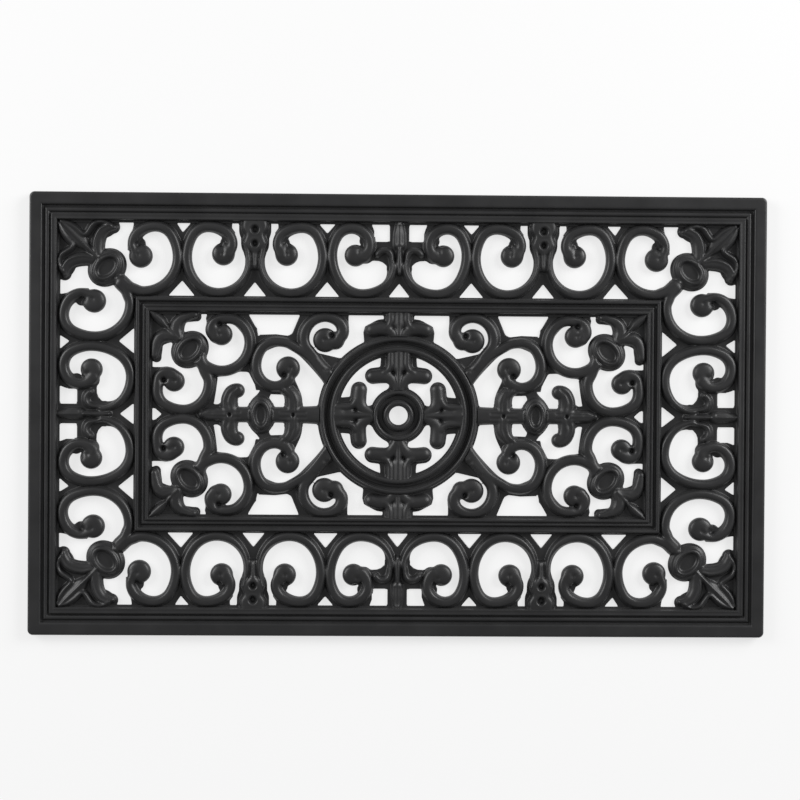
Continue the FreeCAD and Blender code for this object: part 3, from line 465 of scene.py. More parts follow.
# Fields of the north-east quarter
eastward = Field(complex(postX, bandInner[1]), matSizes["cellLength"], bandDepth[1])
westward = Field(complex(postX, bandInner[1]), -matSizes["cellLength"], bandDepth[1])
longSide = Field(complex(0, bandInner[1]), matSizes["cellLength"], bandDepth[1])
shortSide = Field(complex(bandInner[0], 0), matSizes["sideCellLength"], bandDepth[0], True)
cornerField = Field(complex(*bandInner), bandDepth[0], bandDepth[1])
cornerLong = Field(complex(cornerStart[0], bandInner[1]), bandInner[0] - cornerStart[0], bandDepth[1])
cornerShort = Field(complex(bandInner[0], cornerStart[1]), bandInner[1] - cornerStart[1], bandDepth[0], True)
panelField = Field(0j, panel[0], panel[1])
ringNorth = Field(0j, matSizes["ringInner"], matSizes["ringInner"])
ringEast = Field(0j, matSizes["ringInner"], matSizes["ringInner"], True)

# The same places in plain millimetres, for relief that the outline tables don't give
shortStretch = bandDepth[0] / bandDepth[1]
plain = Field(0j, 1, 1)
plainEast = Field(0j, 1, 1, True)
plainShort = Field(complex(bandInner[0] - bandInner[1] * shortStretch, 0), 1, shortStretch, True)
plainPost = Field(complex(postX, 0), 1, 1)
plainCorner = Field(complex(*bandInner), 1, 1)
plainTurned = Field(complex(*bandInner), 1 / shortStretch, shortStretch, True)
bothSides = (list, flipped)


# Post scrolls. Rows: share along, share of depth, heading in degrees, half width as a share of a bar.

outerWebs = [
    [(0.58, 0.0), (0.83, 0.0), (1.0, 0.205), (1.0, 0.50), (0.82, 0.19)],
    [(0.76, 1.0), (0.888, 1.0), (1.0, 0.872), (1.0, 0.60), (0.86, 0.83)],
]
postScroll = {
    "bar": [
        (0.058, 0.680, 270, 0.52), (0.062, 0.480, 270, 0.52), (0.503, 0.041, 0, 0.50),
        (0.941, 0.540, 90, 0.50), (0.650, 0.953, 180, 0.54), (0.335, 0.720, 270, 0.66),
        (0.385, 0.610, 300, 0.70),
    ],
    "tube": [
        (0.146, 0.735, 245, 0.13), (0.096, 0.590, 255, 0.17), (0.084, 0.450, 272, 0.21),
        (0.503, 0.041, 0, 0.46), (0.941, 0.540, 90, 0.46), (0.650, 0.953, 180, 0.50),
        (0.313, 0.715, 270, 0.49), (0.365, 0.590, 305, 0.62),
    ],
    "eyes": [(0.437, 0.578, 1.12), (0.390, 0.733, 0.65)],
    "webs": [
        *outerWebs,
        [(0.42, 0.0), (0.157, 0.0), (0.0, 0.195), (0.0, 0.42), (0.19, 0.17)],
        [(0.60, 1.0), (0.320, 1.0), (0.320, 0.940), (0.275, 0.873), (0.43, 0.886)],
    ],
    "curl": (0.446, 0.573, 82, 1),
    "curlReach": 9.6,
    "seam": 0.607,
    "seamHalf": 16.6,
}


def addScroll(field, look):
    field.flange(look["bar"])
    field.tube(look["tube"])
    for index, row in enumerate(look["eyes"]):
        field.eye(row, 0 if index else matSizes["barRise"])
    for rows in look["webs"]:
        field.web(rows)
    field.curl(look["curl"], look["curlReach"])


for field in (eastward, westward):
    addScroll(field, postScroll)


# Scrolls beside the spear leaves

leafScroll = {
    "bar": [
        (0.080, 0.450, 270, 0.64), (0.083, 0.350, 270, 0.63), (0.509, 0.040, 0, 0.50),
        (0.934, 0.580, 90, 0.51), (0.665, 0.950, 180, 0.56), (0.425, 0.715, 270, 0.60),
        (0.520, 0.560, 320, 0.60),
    ],
    "tube": [
        (0.072, 0.430, 274, 0.28), (0.509, 0.040, 0, 0.46), (0.934, 0.580, 90, 0.46),
        (0.665, 0.950, 180, 0.50), (0.411, 0.720, 270, 0.49), (0.500, 0.545, 320, 0.58),
    ],
    "eyes": [(0.610, 0.572, 1.08), (0.469, 0.580, 0.85), (0.475, 0.773, 0.58)],
    "webs": [
        *outerWebs,
        [(0.44, 0.0), (0.150, 0.0), (0.0, 0.190), (0.0, 0.38), (0.20, 0.16)],
        [(0.62, 1.0), (0.385, 1.0), (0.360, 0.940), (0.340, 0.880), (0.340, 0.70), (0.45, 0.80)],
    ],
    "curl": (0.560, 0.615, 76, 1),
    "curlReach": 8.6,
    "seam": 0.393,
    "seamHalf": 26.2,
}
for field in (longSide, shortSide):
    addScroll(field, leafScroll)


# Corner scrolls

cornerScroll = {
    "bar": [
        (1.245, 0.193, 225, 0.60), (1.040, 0.095, 200, 0.56), (0.816, 0.055, 180, 0.52),
        (0.100, 0.527, 90, 0.50), (0.570, 0.953, 0, 0.52), (1.010, 0.713, 270, 0.62),
        (0.925, 0.590, 240, 0.66),
    ],
    "tube": [
        (1.245, 0.193, 225, 0.52), (1.040, 0.095, 200, 0.49), (0.816, 0.055, 180, 0.46),
        (0.100, 0.527, 90, 0.46), (0.570, 0.953, 0, 0.48), (1.036, 0.710, 270, 0.49),
        (0.950, 0.575, 240, 0.60),
    ],
    "eyes": [(0.872, 0.542, 1.16), (0.900, 0.713, 0.60)],
    "webs": [
        [(0.75, 0.0), (0.295, 0.0), (0.0, 0.213), (0.0, 0.50), (0.30, 0.19)],
        [(0.42, 1.0), (0.125, 1.0), (0.0, 0.872), (0.0, 0.60), (0.22, 0.83)],
        [(0.60, 1.0), (1.02, 1.0), (1.05, 0.88), (1.13, 0.76), (1.15, 0.62), (1.0, 0.60), (0.90, 0.88)],
    ],
    "curl": (0.914, 0.556, 88, -1),
    "curlReach": 10.6,
}
for field in (cornerLong, cornerShort):
    addScroll(field, cornerScroll)
print("outer scrolls placed")


# Posts with two dimples

post = {
    "bar": [
        (0.0, 0.560, 90, 0.93), (0.0, 0.640, 90, 1.15), (0.0, 0.730, 90, 1.38), (0.0, 0.830, 90, 1.40),
        (0.0, 0.930, 90, 1.60), (0.0, 1.100, 90, 1.58),
    ],
    # Width of the rounded edge, rise, and the right half of the outline
    "bodies": [
        (3.0, 1.7, [(8.0, 172), (7.4, 165), (7.2, 157), (7.6, 151.5), (3.5, 149.5)]),
        (5.0, 5.0, [
            (12.4, 205), (12.8, 199), (13.3, 195.5), (13.0, 192), (11.6, 189), (9.9, 186.8), (9.9, 184.5),
            (11.2, 181.5), (11.7, 178.5), (10.8, 175), (8.4, 171.6), (5.2, 169), (3.2, 166.5),
            (2.8, 161), (2.5, 154), (1.4, 150.5),
        ]),
    ],
    # Place along the middle line, and radius
    "dimples": [(176.7, 3.2), (191.4, 3.6)],
    "dimpleDepth": 4.4,
    "rimGap": 1.9,
    "rimWidth": 1.1,
    "rimRise": 0.5,
}
eastward.flange(post["bar"])
for edge, rise, rows in post["bodies"]:
    plainPost.body(rows, edge, rise)
for height, radius in post["dimples"]:
    plainPost.rim((0, height), radius + post["rimGap"], post["rimWidth"], post["rimRise"])
    plainPost.dimple((0, height), radius, post["dimpleDepth"])


# Spear leaves in the middle of each side

sideLeaf = {
    "spear": [(0.0, 0.640, 90, 0.50), (0.0, 0.820, 90, 0.62), (0.0, 1.100, 90, 0.56)],
    "stem": [(0.0, 0.340, 90, 0.80), (0.0, 0.480, 90, 0.62), (0.0, 0.700, 90, 0.50)],
    "curl": [(0.060, 0.400, 90, 0.44), (0.105, 0.590, 70, 0.46), (0.225, 0.665, 350, 0.52)],
    "curlEye": (0.243, 0.640, 0.66),
    "curlCrests": [(4.7, [
        (5.6, 151, 92, 3.0), (7.6, 162.5, 82, 2.8), (13.2, 170.6, 12, 3.4), (19.6, 169.6, 325, 3.6),
        (22.6, 166.6, 305, 3.4),
    ])],
    "slits": [(0.9, -4.5, [(4.5, 159.5), (4.7, 167.5)])],
    "spearCrests": [(4.4, [(0, 177, 90, 5.9), (0, 186, 90, 5.7), (0, 195, 90, 4.0), (0, 203, 90, 2.2)])],
    "spearGrooves": [(0.7, -1.3, [(2.4, 178), (2.3, 188), (1.2, 196)])],
    "stemCrests": [(5.2, [(0, 147.5, 90, 2.6), (0, 157, 90, 3.9), (0, 165, 90, 3.1), (0, 172.6, 90, 2.3)])],
    "web": [
        (-0.370, 0.504), (-0.285, 0.500), (-0.230, 0.480), (-0.172, 0.430), (-0.172, 0.380),
        (0.172, 0.380), (0.172, 0.430), (0.230, 0.480), (0.285, 0.500), (0.370, 0.504),
        (0.370, 0.765), (0.130, 0.765), (0.130, 1.020), (-0.130, 1.020), (-0.130, 0.765),
        (-0.370, 0.765),
    ],
}
for field, inPlain in ((longSide, plain), (shortSide, plainShort)):
    field.flange(sideLeaf["spear"])
    field.flange(sideLeaf["stem"])
    field.web(sideLeaf["web"])
    for change in bothSides:
        field.flange(change(sideLeaf["curl"]))
        inPlain.crests(sideLeaf["curlCrests"], change)
    across, depth, radius = sideLeaf["curlEye"]
    for side in (1, -1):
        field.eye((side * across, depth, radius), 0)
    for change in bothSides:
        inPlain.ridges(sideLeaf["slits"], change)
    inPlain.crests(sideLeaf["spearCrests"])
    for change in bothSides:
        inPlain.ridges(sideLeaf["spearGrooves"], change)
    inPlain.crests(sideLeaf["stemCrests"])


# Outer corner leaves

cornerLeaf = {
    "stem": [(0.100, 0.100, 45, 0.62), (0.340, 0.340, 45, 0.80)],
    "spear": [(0.520, 0.520, 45, 0.55), (0.800, 0.800, 45, 0.98), (1.020, 1.020, 45, 0.60)],
    "innerLeaf": [
        (0.500, 0.450, 80, 0.66), (0.490, 0.710, 95, 0.68), (0.400, 0.890, 160, 0.72),
        (0.290, 0.940, 170, 0.66),
    ],
    "outerLeaf": [(0.640, 0.740, 90, 0.46), (0.585, 0.880, 120, 0.50), (0.430, 0.990, 165, 0.50)],
    "leafCrests": [
        (4.8, [
            (24.5, 71.6, 42, 2.3), (30.5, 75.2, 15, 2.8), (37.6, 75.4, 345, 3.0), (44.2, 70.8, 302, 3.0),
            (48.6, 64.2, 305, 2.8), (51.8, 62.2, 10, 2.7), (57.0, 65.8, 46, 2.8), (64.6, 71.8, 32, 2.9),
            (75.6, 76.2, 14, 2.2),
        ]),
        (3.8, [
            (34.6, 35, 70, 3.4), (36.8, 41.5, 82, 4.8), (37.9, 52, 93, 6.0), (35.4, 62, 120, 5.8),
            (28.5, 68.3, 158, 4.6), (20.8, 69.6, 185, 3.0),
        ]),
        (4.9, [
            (39.4, 42, 82, 1.8), (41.2, 51, 92, 2.4), (39.2, 61, 112, 2.6), (33.0, 69.4, 150, 2.4),
            (24.0, 72.0, 190, 1.8),
        ]),
    ],
    "stemCrests": [(4.6, [(6, 6, 45, 5.0), (20, 20.5, 45, 4.4)])],
    # Place, dish, flange and turn
    "oval": ((0.370, 0.380), (11.9, 7.9), (21.4, 18.6), 135),
    "spearCrests": [
        (3.4, [
            (37, 37.6, 45, 4.0), (47, 47.6, 45, 3.2), (57, 57.4, 45, 7.4), (66, 66.2, 45, 7.2),
            (75, 75.2, 45, 3.0),
        ]),
        (5.2, [(36.5, 37.2, 45, 2.4), (50, 50.6, 45, 2.6), (66, 66.4, 45, 2.6), (75, 75.2, 45, 1.4)]),
    ],
    "web": [(0.500, 0.500), (0.500, 0.800), (0.300, 1.000), (1.000, 1.000), (1.000, 0.300), (0.800, 0.500)],
}
cornerField.flange(cornerLeaf["stem"])
cornerField.flange(cornerLeaf["spear"])
cornerField.web(cornerLeaf["web"])
for name in ("innerLeaf", "outerLeaf"):
    cornerField.flange(cornerLeaf[name])
    cornerField.flange(turned(cornerLeaf[name]))
for inPlain in (plainCorner, plainTurned):
    inPlain.crests(cornerLeaf["leafCrests"])
plainCorner.crests(cornerLeaf["stemCrests"])
cornerField.oval(*cornerLeaf["oval"])
plainCorner.crests(cornerLeaf["spearCrests"])
print("posts and leaves placed")


# Panel sprays

spray = {
    "upper": [
        (0.845, 0.600, 212, 0.56), (0.780, 0.475, 210, 0.56), (0.720, 0.434, 180, 0.54),
        (0.607, 0.718, 90, 0.51), (0.697, 0.958, 0, 0.50), (0.762, 0.845, 270, 0.60),
        (0.745, 0.780, 235, 0.66),
    ],
    "upperEyes": [(0.721, 0.800, 1.08), (0.731, 0.842, 0.62)],
    "lower": [
        (0.822, 0.640, 240, 0.62), (0.790, 0.450, 250, 0.56), (0.770, 0.316, 270, 0.54),
        (0.874, 0.045, 0, 0.50), (0.980, 0.235, 90, 0.53), (0.940, 0.415, 180, 0.58),
        (0.915, 0.380, 240, 0.62),
    ],
    "lowerEyes": [(0.912, 0.330, 1.04), (0.943, 0.345, 0.62)],
    "curls": [((0.729, 0.800, 92, -1), 10.0), ((0.910, 0.330, 6, 1), 10.8)],
    "petal": [(0.905, 0.800, 45, 0.50), (0.960, 0.925, 45, 0.62), (1.020, 1.060, 45, 0.60)],
    "upperLeaf": [
        (0.880, 0.700, 70, 0.62), (0.898, 0.855, 95, 0.62), (0.860, 0.970, 175, 0.50),
        (0.822, 0.975, 180, 0.46),
    ],
    "sideLeaf": [
        (0.880, 0.700, 35, 0.62), (0.926, 0.775, 0, 0.58), (0.980, 0.680, 272, 0.50),
        (0.984, 0.565, 270, 0.48),
    ],
    "webs": [
        [(0.890, 0.760), (0.980, 0.670), (1.0, 0.690), (1.0, 1.0), (0.860, 1.0), (0.880, 0.900)],
        [(0.780, 1.0), (0.700, 0.940), (0.740, 0.900), (0.780, 0.900), (0.785, 0.960)],
        [(0.700, 1.0), (0.611, 1.0), (0.595, 0.930), (0.578, 0.860), (0.600, 0.720), (0.650, 0.850)],
        [(0.600, 0.500), (0.555, 0.700), (0.571, 0.782), (0.578, 0.860), (0.600, 0.900), (0.640, 0.560)],
        [(0.660, 0.430), (0.610, 0.425), (0.580, 0.600), (0.640, 0.550)],
        [(0.738, 0.370), (0.700, 0.410), (0.765, 0.420), (0.755, 0.280)],
        [(1.0, 0.470), (0.940, 0.470), (0.950, 0.400), (0.980, 0.280), (1.0, 0.250)],
        [(0.736, 0.360), (0.742, 0.240), (0.750, 0.120), (0.790, 0.120), (0.785, 0.360)],
        [(1.0, 0.200), (1.0, 0.066), (0.985, 0.050), (0.962, 0.0), (0.900, 0.0), (0.950, 0.080)],
    ],
    "leafCrests": [
        (4.3, [
            (224.6, 73, 72, 3.8), (226.8, 79, 82, 4.8), (230.0, 90, 100, 7.0), (222.5, 99.4, 160, 5.4),
            (211, 102.8, 182, 4.2),
        ]),
        (4.3, [
            (223.5, 75.5, 30, 3.6), (229, 78.4, 30, 4.6), (241, 81.0, 0, 6.8), (250.3, 72.5, 285, 5.6),
            (252.3, 60.5, 272, 4.2),
        ]),
    ],
    "veins": [
        (1.0, 0.6, [(225.4, 80), (227.6, 86), (226.3, 93), (219.5, 98.8), (209, 100.8)]),
        (1.0, 0.6, [(229.4, 80), (233.2, 88), (232.2, 95), (225.8, 101.3), (213, 104.6)]),
        (1.0, 0.6, [(230, 75.8), (240, 78.2), (247.2, 73), (249.2, 61)]),
        (1.0, 0.6, [(231, 80.6), (242.5, 84.4), (251.8, 79.5), (255, 70), (255.2, 60)]),
    ],
    "middleCrests": [
        (5.0, [(239.6, 90.6, 46, 2.0), (245.6, 96.6, 44, 4.4), (251.8, 102, 40, 4.2), (257, 106, 38, 1.8)]),
        (5.0, [(223.5, 74.2, 45, 1.8), (231, 81.4, 45, 2.2), (238, 88.6, 45, 1.6)]),
    ],
    "oval": ((216.1, 66.8), (12.0, 7.6), (20.8, 18.2), 135),
    "knob": (204.5, 60.0),
    "knobWidth": 1.1,
    "knobRise": 1.4,
}
for name in ("upper", "lower"):
    panelField.bar(spray[name])
for name in ("petal", "upperLeaf", "sideLeaf"):
    panelField.flange(spray[name])
for row in spray["upperEyes"] + spray["lowerEyes"]:
    panelField.eye(row)
for rows in spray["webs"]:
    panelField.web(rows)
for row, reach in spray["curls"]:
    panelField.curl(row, reach)
plain.crests(spray["leafCrests"])
plain.ridges(spray["veins"])
plain.crests(spray["middleCrests"])
plain.oval(*spray["oval"])
plain.rim(spray["knob"], 0, spray["knobWidth"], spray["knobRise"])


# Ring scrolls

ringScroll = {
    "lower": [
        (0.268, 0.262, 58, 0.44), (0.352, 0.544, 50, 0.44), (0.440, 0.702, 30, 0.48),
        (0.500, 0.733, 0, 0.50), (0.581, 0.490, 270, 0.54), (0.502, 0.283, 180, 0.54),
        (0.448, 0.360, 110, 0.62),
    ],
    "upper": [
        (0.250, 0.330, 50, 0.50), (0.338, 0.560, 56, 0.52), (0.387, 0.766, 90, 0.56),
        (0.300, 0.980, 180, 0.48), (0.228, 0.842, 270, 0.62), (0.255, 0.750, 320, 0.66),
    ],
    "eyes": [(0.450, 0.466, 1.18), (0.300, 0.750, 1.20), (0.258, 0.745, 0.88)],
    "webs": [
        [(0.235, 0.335), (0.307, 0.345), (0.441, 0.690), (0.410, 0.850), (0.362, 0.640), (0.238, 0.570)],
        [(0.445, 0.700), (0.456, 0.775), (0.410, 0.850), (0.390, 0.740)],
        [(0.566, 0.800), (0.590, 0.640), (0.560, 0.620), (0.440, 0.740), (0.445, 0.790), (0.500, 0.806)],
        [(0.612, 0.430), (0.585, 0.300), (0.580, 0.245), (0.500, 0.245), (0.530, 0.290), (0.597, 0.600)],
        [(0.430, 0.245), (0.520, 0.245), (0.500, 0.300), (0.452, 0.310)],
        [(0.360, 1.0), (0.403, 1.0), (0.435, 0.810), (0.447, 0.790), (0.410, 0.700), (0.390, 0.850)],
        [(0.240, 1.0), (0.205, 1.0), (0.205, 0.880), (0.240, 0.880)],
    ],
    "curls": [((0.302, 0.751, 149, 1), 8.8), ((0.440, 0.468, 312, -1), 9.6)],
    # Where the two scrolls leave the ring
    "creases": [(1.3, 0.7, [(62.5, 53.5), (66.5, 49.5), (72.7, 44.7), (80, 51.3), (86, 58.5)])],
    "crotch": (75, 47.4),
    "crotchWidth": 2.4,
    "crotchDepth": 1.4,
    # Narrow places that the moulding fills: above a spray scroll, at a side ornament's tip and beside it
    "fillings": [
        [(184, 98), (197, 98), (197, 105), (184, 105)],
        [(204, -3), (215, -3), (215, 3), (204, 3)],
        [(190, 8), (200, 8), (200, 13), (192, 13)],
    ],
}
for name in ("lower", "upper"):
    panelField.bar(ringScroll[name])
for row in ringScroll["eyes"]:
    panelField.eye(row)
for rows in ringScroll["webs"]:
    panelField.web(rows)
for row, reach in ringScroll["curls"]:
    panelField.curl(row, reach)
plain.ridges(ringScroll["creases"])
plain.rim(ringScroll["crotch"], 0, ringScroll["crotchWidth"], -ringScroll["crotchDepth"])
for rows in ringScroll["fillings"]:
    plain.web(rows)


# Side ornaments on the long axis

sideOrnament = {
    "spear": [(0.800, 0.0, 180, 0.34), (0.760, 0.0, 180, 0.60), (0.690, 0.0, 180, 0.60)],
    "stem": [
        (0.740, 0.0, 180, 0.62), (0.640, 0.0, 180, 0.74), (0.500, 0.0, 180, 0.74),
        (0.400, 0.0, 180, 0.80), (0.250, 0.0, 180, 0.96),
    ],
    "firstLeaf": [(0.684, -0.020, 90, 0.80), (0.688, 0.125, 92, 0.84), (0.655, 0.240, 185, 0.72)],
    "secondLeaf": [(0.427, -0.020, 90, 0.76), (0.427, 0.115, 90, 0.88), (0.448, 0.300, 65, 0.78)],
    "secondCrests": [
        (5.2, [(108.7, 3, 92, 7.6), (108.6, 14, 86, 8.0), (112.2, 22.5, 45, 6.8), (118.6, 25.6, 10, 4.6)]),
    ],
    "veins": [
        (1.3, 0.4, [(105.5, 4), (104.6, 14), (108, 24), (113, 29)]),
        (1.3, 0.4, [(113.5, 5), (112.8, 14), (115.6, 21), (120.5, 25)]),
        (1.3, 0.4, [(171.5, 6), (175.2, 16), (171.6, 23.6), (165.4, 27.2)]),
        (1.3, 0.4, [(180, 8), (180.6, 16), (176.5, 24.5)]),
        (1.4, -0.9, [(108.9, 3), (108.5, 13), (111.8, 22.5), (117, 27.5)]),
        (1.4, -0.9, [(175, 3), (178, 13), (174.6, 22), (168, 27.5)]),
        (1.4, -0.9, [(96, 2.6), (107, 2.2), (111, 2.2), (122, 2.8)]),
        (1.4, -0.9, [(164, 2.6), (173, 2.2), (177, 2.2), (203, 1.4)]),
    ],
    "oval": ((0.559, 0.0), (10.9, 6.0), (20.6, 14.6), 90),
    "dimples": [(0.686, 0.0), (0.428, 0.0)],
    "dimpleRadius": 1.7,
    "dimpleDepth": 4.5,
    "spearWeb": [
        (0.830, 0.0), (0.780, 0.100), (0.735, 0.098), (0.715, 0.120), (0.690, 0.100),
        (0.690, -0.100), (0.715, -0.120), (0.735, -0.098), (0.780, -0.100),
    ],
    "linkWeb": [
        (0.425, 0.120), (0.470, 0.201), (0.520, 0.205), (0.530, 0.150), (0.588, 0.160),
        (0.558, 0.260), (0.420, 0.260),
    ],
}
panelField.bar(sideOrnament["stem"])
panelField.bar(sideOrnament["spear"])
panelField.web(sideOrnament["spearWeb"])
for change in (list, lowered):
    panelField.bar(change(sideOrnament["firstLeaf"]))
    panelField.flange(change(sideOrnament["secondLeaf"]))
    plain.crests(sideOrnament["secondCrests"], change)
    panelField.web(change(sideOrnament["linkWeb"]))
    plain.ridges(sideOrnament["veins"], change)
panelField.oval(*sideOrnament["oval"])
for row in sideOrnament["dimples"]:
    panelField.dimple(row, sideOrnament["dimpleRadius"], sideOrnament["dimpleDepth"])


# Top ornaments between the ring and the panel frame, and leaves between the ring and the hub

topOrnament = {
    "middle": [(0.0, 0.800, 90, 0.44), (0.0, 1.060, 90, 0.44)],
    "web": [
        (-0.140, 0.700), (0.140, 0.700), (0.145, 0.830), (0.138, 0.890), (0.085, 0.955),
        (0.062, 0.965), (0.062, 1.020), (-0.062, 1.020), (-0.062, 0.965), (-0.085, 0.955),
        (-0.138, 0.890), (-0.145, 0.830),
    ],
    "sides": [
        [(0.033, 0.880, 90, 0.42), (0.033, 1.060, 90, 0.42)],
        [(0.0, 0.845, 0, 0.72), (0.070, 0.870, 0, 0.86), (0.108, 0.840, 340, 0.74)],
    ],
    "sideCrests": [
        (4.6, [(2.0, 77, 85, 4.2), (7.0, 85, 50, 5.6), (15, 89.8, 8, 7.2), (27.4, 88.6, 342, 6.8)]),
        (4.8, [(8.4, 112, 270, 4.2), (8.4, 100, 270, 4.2), (9.8, 94.5, 290, 3.8), (14, 90, 330, 4.0)]),
    ],
    "middleCrests": [
        (5.0, [(0, 79, 90, 2.4), (0, 89, 90, 3.7), (0, 112, 90, 4.1)]),
        (4.2, [(0, 96, 90, 8.0), (0, 112, 90, 9.0)]),
    ],
    "dimple": (5.0, 91.5),
    "dimpleRadius": 1.7,
    "dimpleDepth": 4.5,
}
ringLeaf = {
    "middle": [
        (0.0, 0.400, 90, 0.95), (0.0, 0.530, 90, 0.90), (0.0, 0.670, 90, 1.20),
    ],
    "petal": [(0.0, 0.420, 90, 0.44), (0.0, 1.060, 90, 0.42)],
    "web": [(-0.310, 0.780), (0.310, 0.780), (0.285, 1.060), (-0.285, 1.060)],
    "sides": [
        [(0.0, 0.665, 0, 0.88), (0.210, 0.672, 0, 0.82), (0.425, 0.655, 352, 0.80)],
        [(0.139, 0.720, 90, 0.42), (0.139, 1.060, 90, 0.42)],
    ],
    "sideCrests": [
        (4.6, [(2.2, 24, 88, 4.4), (6.4, 35.5, 55, 6.2), (14, 40.6, 8, 7.4), (26.6, 40.1, 355, 7.1)]),
        (4.8, [(8.6, 72, 270, 4.2), (8.6, 54, 270, 4.2), (10.2, 48.3, 295, 3.8), (15, 44.6, 335, 4.0)]),
    ],
    "middleCrests": [
        (5.0, [(0, 29, 90, 2.6), (0, 42, 90, 3.8), (0, 70, 90, 4.1)]),
        (4.2, [(0, 51, 90, 8.0), (0, 70, 90, 9.0)]),
    ],
    "dimple": (5.4, 44.6),
    "dimpleRadius": 1.8,
    "dimpleDepth": 4.5,
}


def addPetals(field, inPlain, look):
    field.flange(look["middle"])
    field.web(look["web"])
    for change in bothSides:
        for table in look["sides"]:
            field.flange(change(table))
        inPlain.crests(look["sideCrests"], change)
    across, along = look["dimple"]
    for side in (1, -1):
        inPlain.dimple((side * across, along), look["dimpleRadius"], look["dimpleDepth"])
    inPlain.crests(look["middleCrests"])


addPetals(panelField, plain, topOrnament)
for field, inPlain in ((ringNorth, plain), (ringEast, plainEast)):
    addPetals(field, inPlain, ringLeaf)
    field.flange(ringLeaf["petal"])
print("panel placed")

# The frame pieces join in, so the pattern meets them with the mould's small fillets
spotX, spotY = np.meshgrid(gridX, gridY)
spotRadius = np.hypot(spotX, spotY)
frames = [
    np.minimum(bandOuter[0] - spotX, bandOuter[1] - spotY),
    np.maximum(
        np.maximum(spotX - bandInner[0], spotY - bandInner[1]),
        np.minimum(panel[0] - spotX, panel[1] - spotY),
    ),
    np.maximum(spotRadius - matSizes["ringRadius"], matSizes["ringInner"] - spotRadius),
    np.maximum(spotRadius - matSizes["hubRadius"], matSizes["hubHole"] - spotRadius),
]
for distance in frames:
    outline = smoothMin(outline, distance, moulding["outlineFillet"])


# Mirror what crosses the two middle lines, and soften the relief as a mould does

def foldAxis(values, combine, axis):
    count = int(round(gridMargin / gridStep))
    moved = np.moveaxis(values, axis, 0)
    strip = combine(moved[:2 * count + 1], moved[:2 * count + 1][::-1])
    moved[:2 * count + 1] = strip


for axis in (0, 1):
    foldAxis(outline, lambda first, second: smoothMin(first, second, moulding["outlineFillet"]), axis)
    foldAxis(relief, np.maximum, axis)


def bell(reach, step, sigma):
    weights = np.exp(-0.5 * (np.arange(-reach, reach + 1) * step / sigma) ** 2)
    return weights / weights.sum()


def softened(values, sigma):
    reach = int(bellReach * sigma / gridStep) + 1
    for axis in (0, 1):
        padded = np.pad(values, [(reach, reach) if item == axis else (0, 0) for item in (0, 1)], mode="edge")
        total = np.zeros_like(values)
        for index, weight in enumerate(bell(reach, gridStep, sigma)):
            part = [slice(None), slice(None)]
            part[axis] = slice(index, index + values.shape[axis])
            total += weight * padded[tuple(part)]
        values = total
    return values


relief = softened(relief, moulding["softening"])


def sample(values, x, y):
    across = np.clip((np.abs(x) - gridX[0]) / gridStep, 0, len(gridX) - 1.001)
    up = np.clip((np.abs(y) - gridY[0]) / gridStep, 0, len(gridY) - 1.001)
    column = across.astype(int)
    row = up.astype(int)
    across = across - column
    up = up - row
    low = values[row, column] * (1 - across) + values[row, column + 1] * across
    high = values[row + 1, column] * (1 - across) + values[row + 1, column + 1] * across
    return low * (1 - up) + high * up


# Materials

def linear(code):
    values = [int(code[index:index + 2], 16) / 255 for index in (1, 3, 5)]
    return [value / 12.92 if value <= 0.04045 else ((value + 0.055) / 1.055) ** 2.4 for value in values] + [1]


def addNode(tree, kind, values, sources, **modes):
    # A node that the tree starts with is found by its name
    node = tree.nodes.get(kind) or tree.nodes.new(kind)
    for name, mode in modes.items():
        setattr(node, name, mode)
    for name, value in values.items():
        node.inputs[name].default_value = value
    for name, source in sources.items():
        tree.links.new(source, node.inputs[name])
    return node.outputs


rubberLook = {
    "dark": "#161617",
    "pale": "#222223",
    "cloudSize": 0.030,
    "cloudDetail": 5,
    # The clouds between these two shades move the roughness by these two amounts
    "cloudShades": (0.3, 0.7),
    "roughness": 0.44,
    "roughnessChange": (-0.05, 0.07),
    "specular": 0.5,
    "sheen": 0.05,
    "sheenRoughness": 0.5,
    "grainSize": 0.0007,
    "grainDetail": 2,
    "grainStrength": 0.35,
    "grainDepth": 0.00005,
}


def mouldedRubber(look):
    material = bpy.data.materials.new("moulded black rubber")
    material.use_nodes = True
    tree = material.node_tree
    place = addNode(tree, "ShaderNodeTexCoord", {}, {})["Object"]
    clouds = addNode(tree, "ShaderNodeTexNoise", {
        "Scale": 1 / look["cloudSize"],
        "Detail": look["cloudDetail"],
    }, {"Vector": place})["Fac"]
    tone = addNode(tree, "ShaderNodeMix", {
        "A": linear(look["dark"]),
        "B": linear(look["pale"]),
    }, {"Factor": clouds}, data_type="RGBA")["Result"]
    gloss = addNode(tree, "ShaderNodeMapRange", {
        "From Min": look["cloudShades"][0],
        "From Max": look["cloudShades"][1],
        "To Min": look["roughness"] + look["roughnessChange"][0],
        "To Max": look["roughness"] + look["roughnessChange"][1],
    }, {"Value": clouds})["Result"]
    grain = addNode(tree, "ShaderNodeTexNoise", {
        "Scale": 1 / look["grainSize"],
        "Detail": look["grainDetail"],
    }, {"Vector": place})["Fac"]
    bump = addNode(tree, "ShaderNodeBump", {
        "Strength": look["grainStrength"],
        "Distance": look["grainDepth"],
    }, {"Height": grain})["Normal"]
    addNode(tree, "Principled BSDF", {
        "Specular IOR Level": look["specular"],
        "Sheen Weight": look["sheen"],
        "Sheen Roughness": look["sheenRoughness"],
    }, {"Base Color": tone, "Roughness": gloss, "Normal": bump})
    return material


rubber = mouldedRubber(rubberLook)


# Meshes

def inScene(name, data):
    item = bpy.data.objects.new(name, data)
    bpy.context.scene.collection.objects.link(item)
    return item


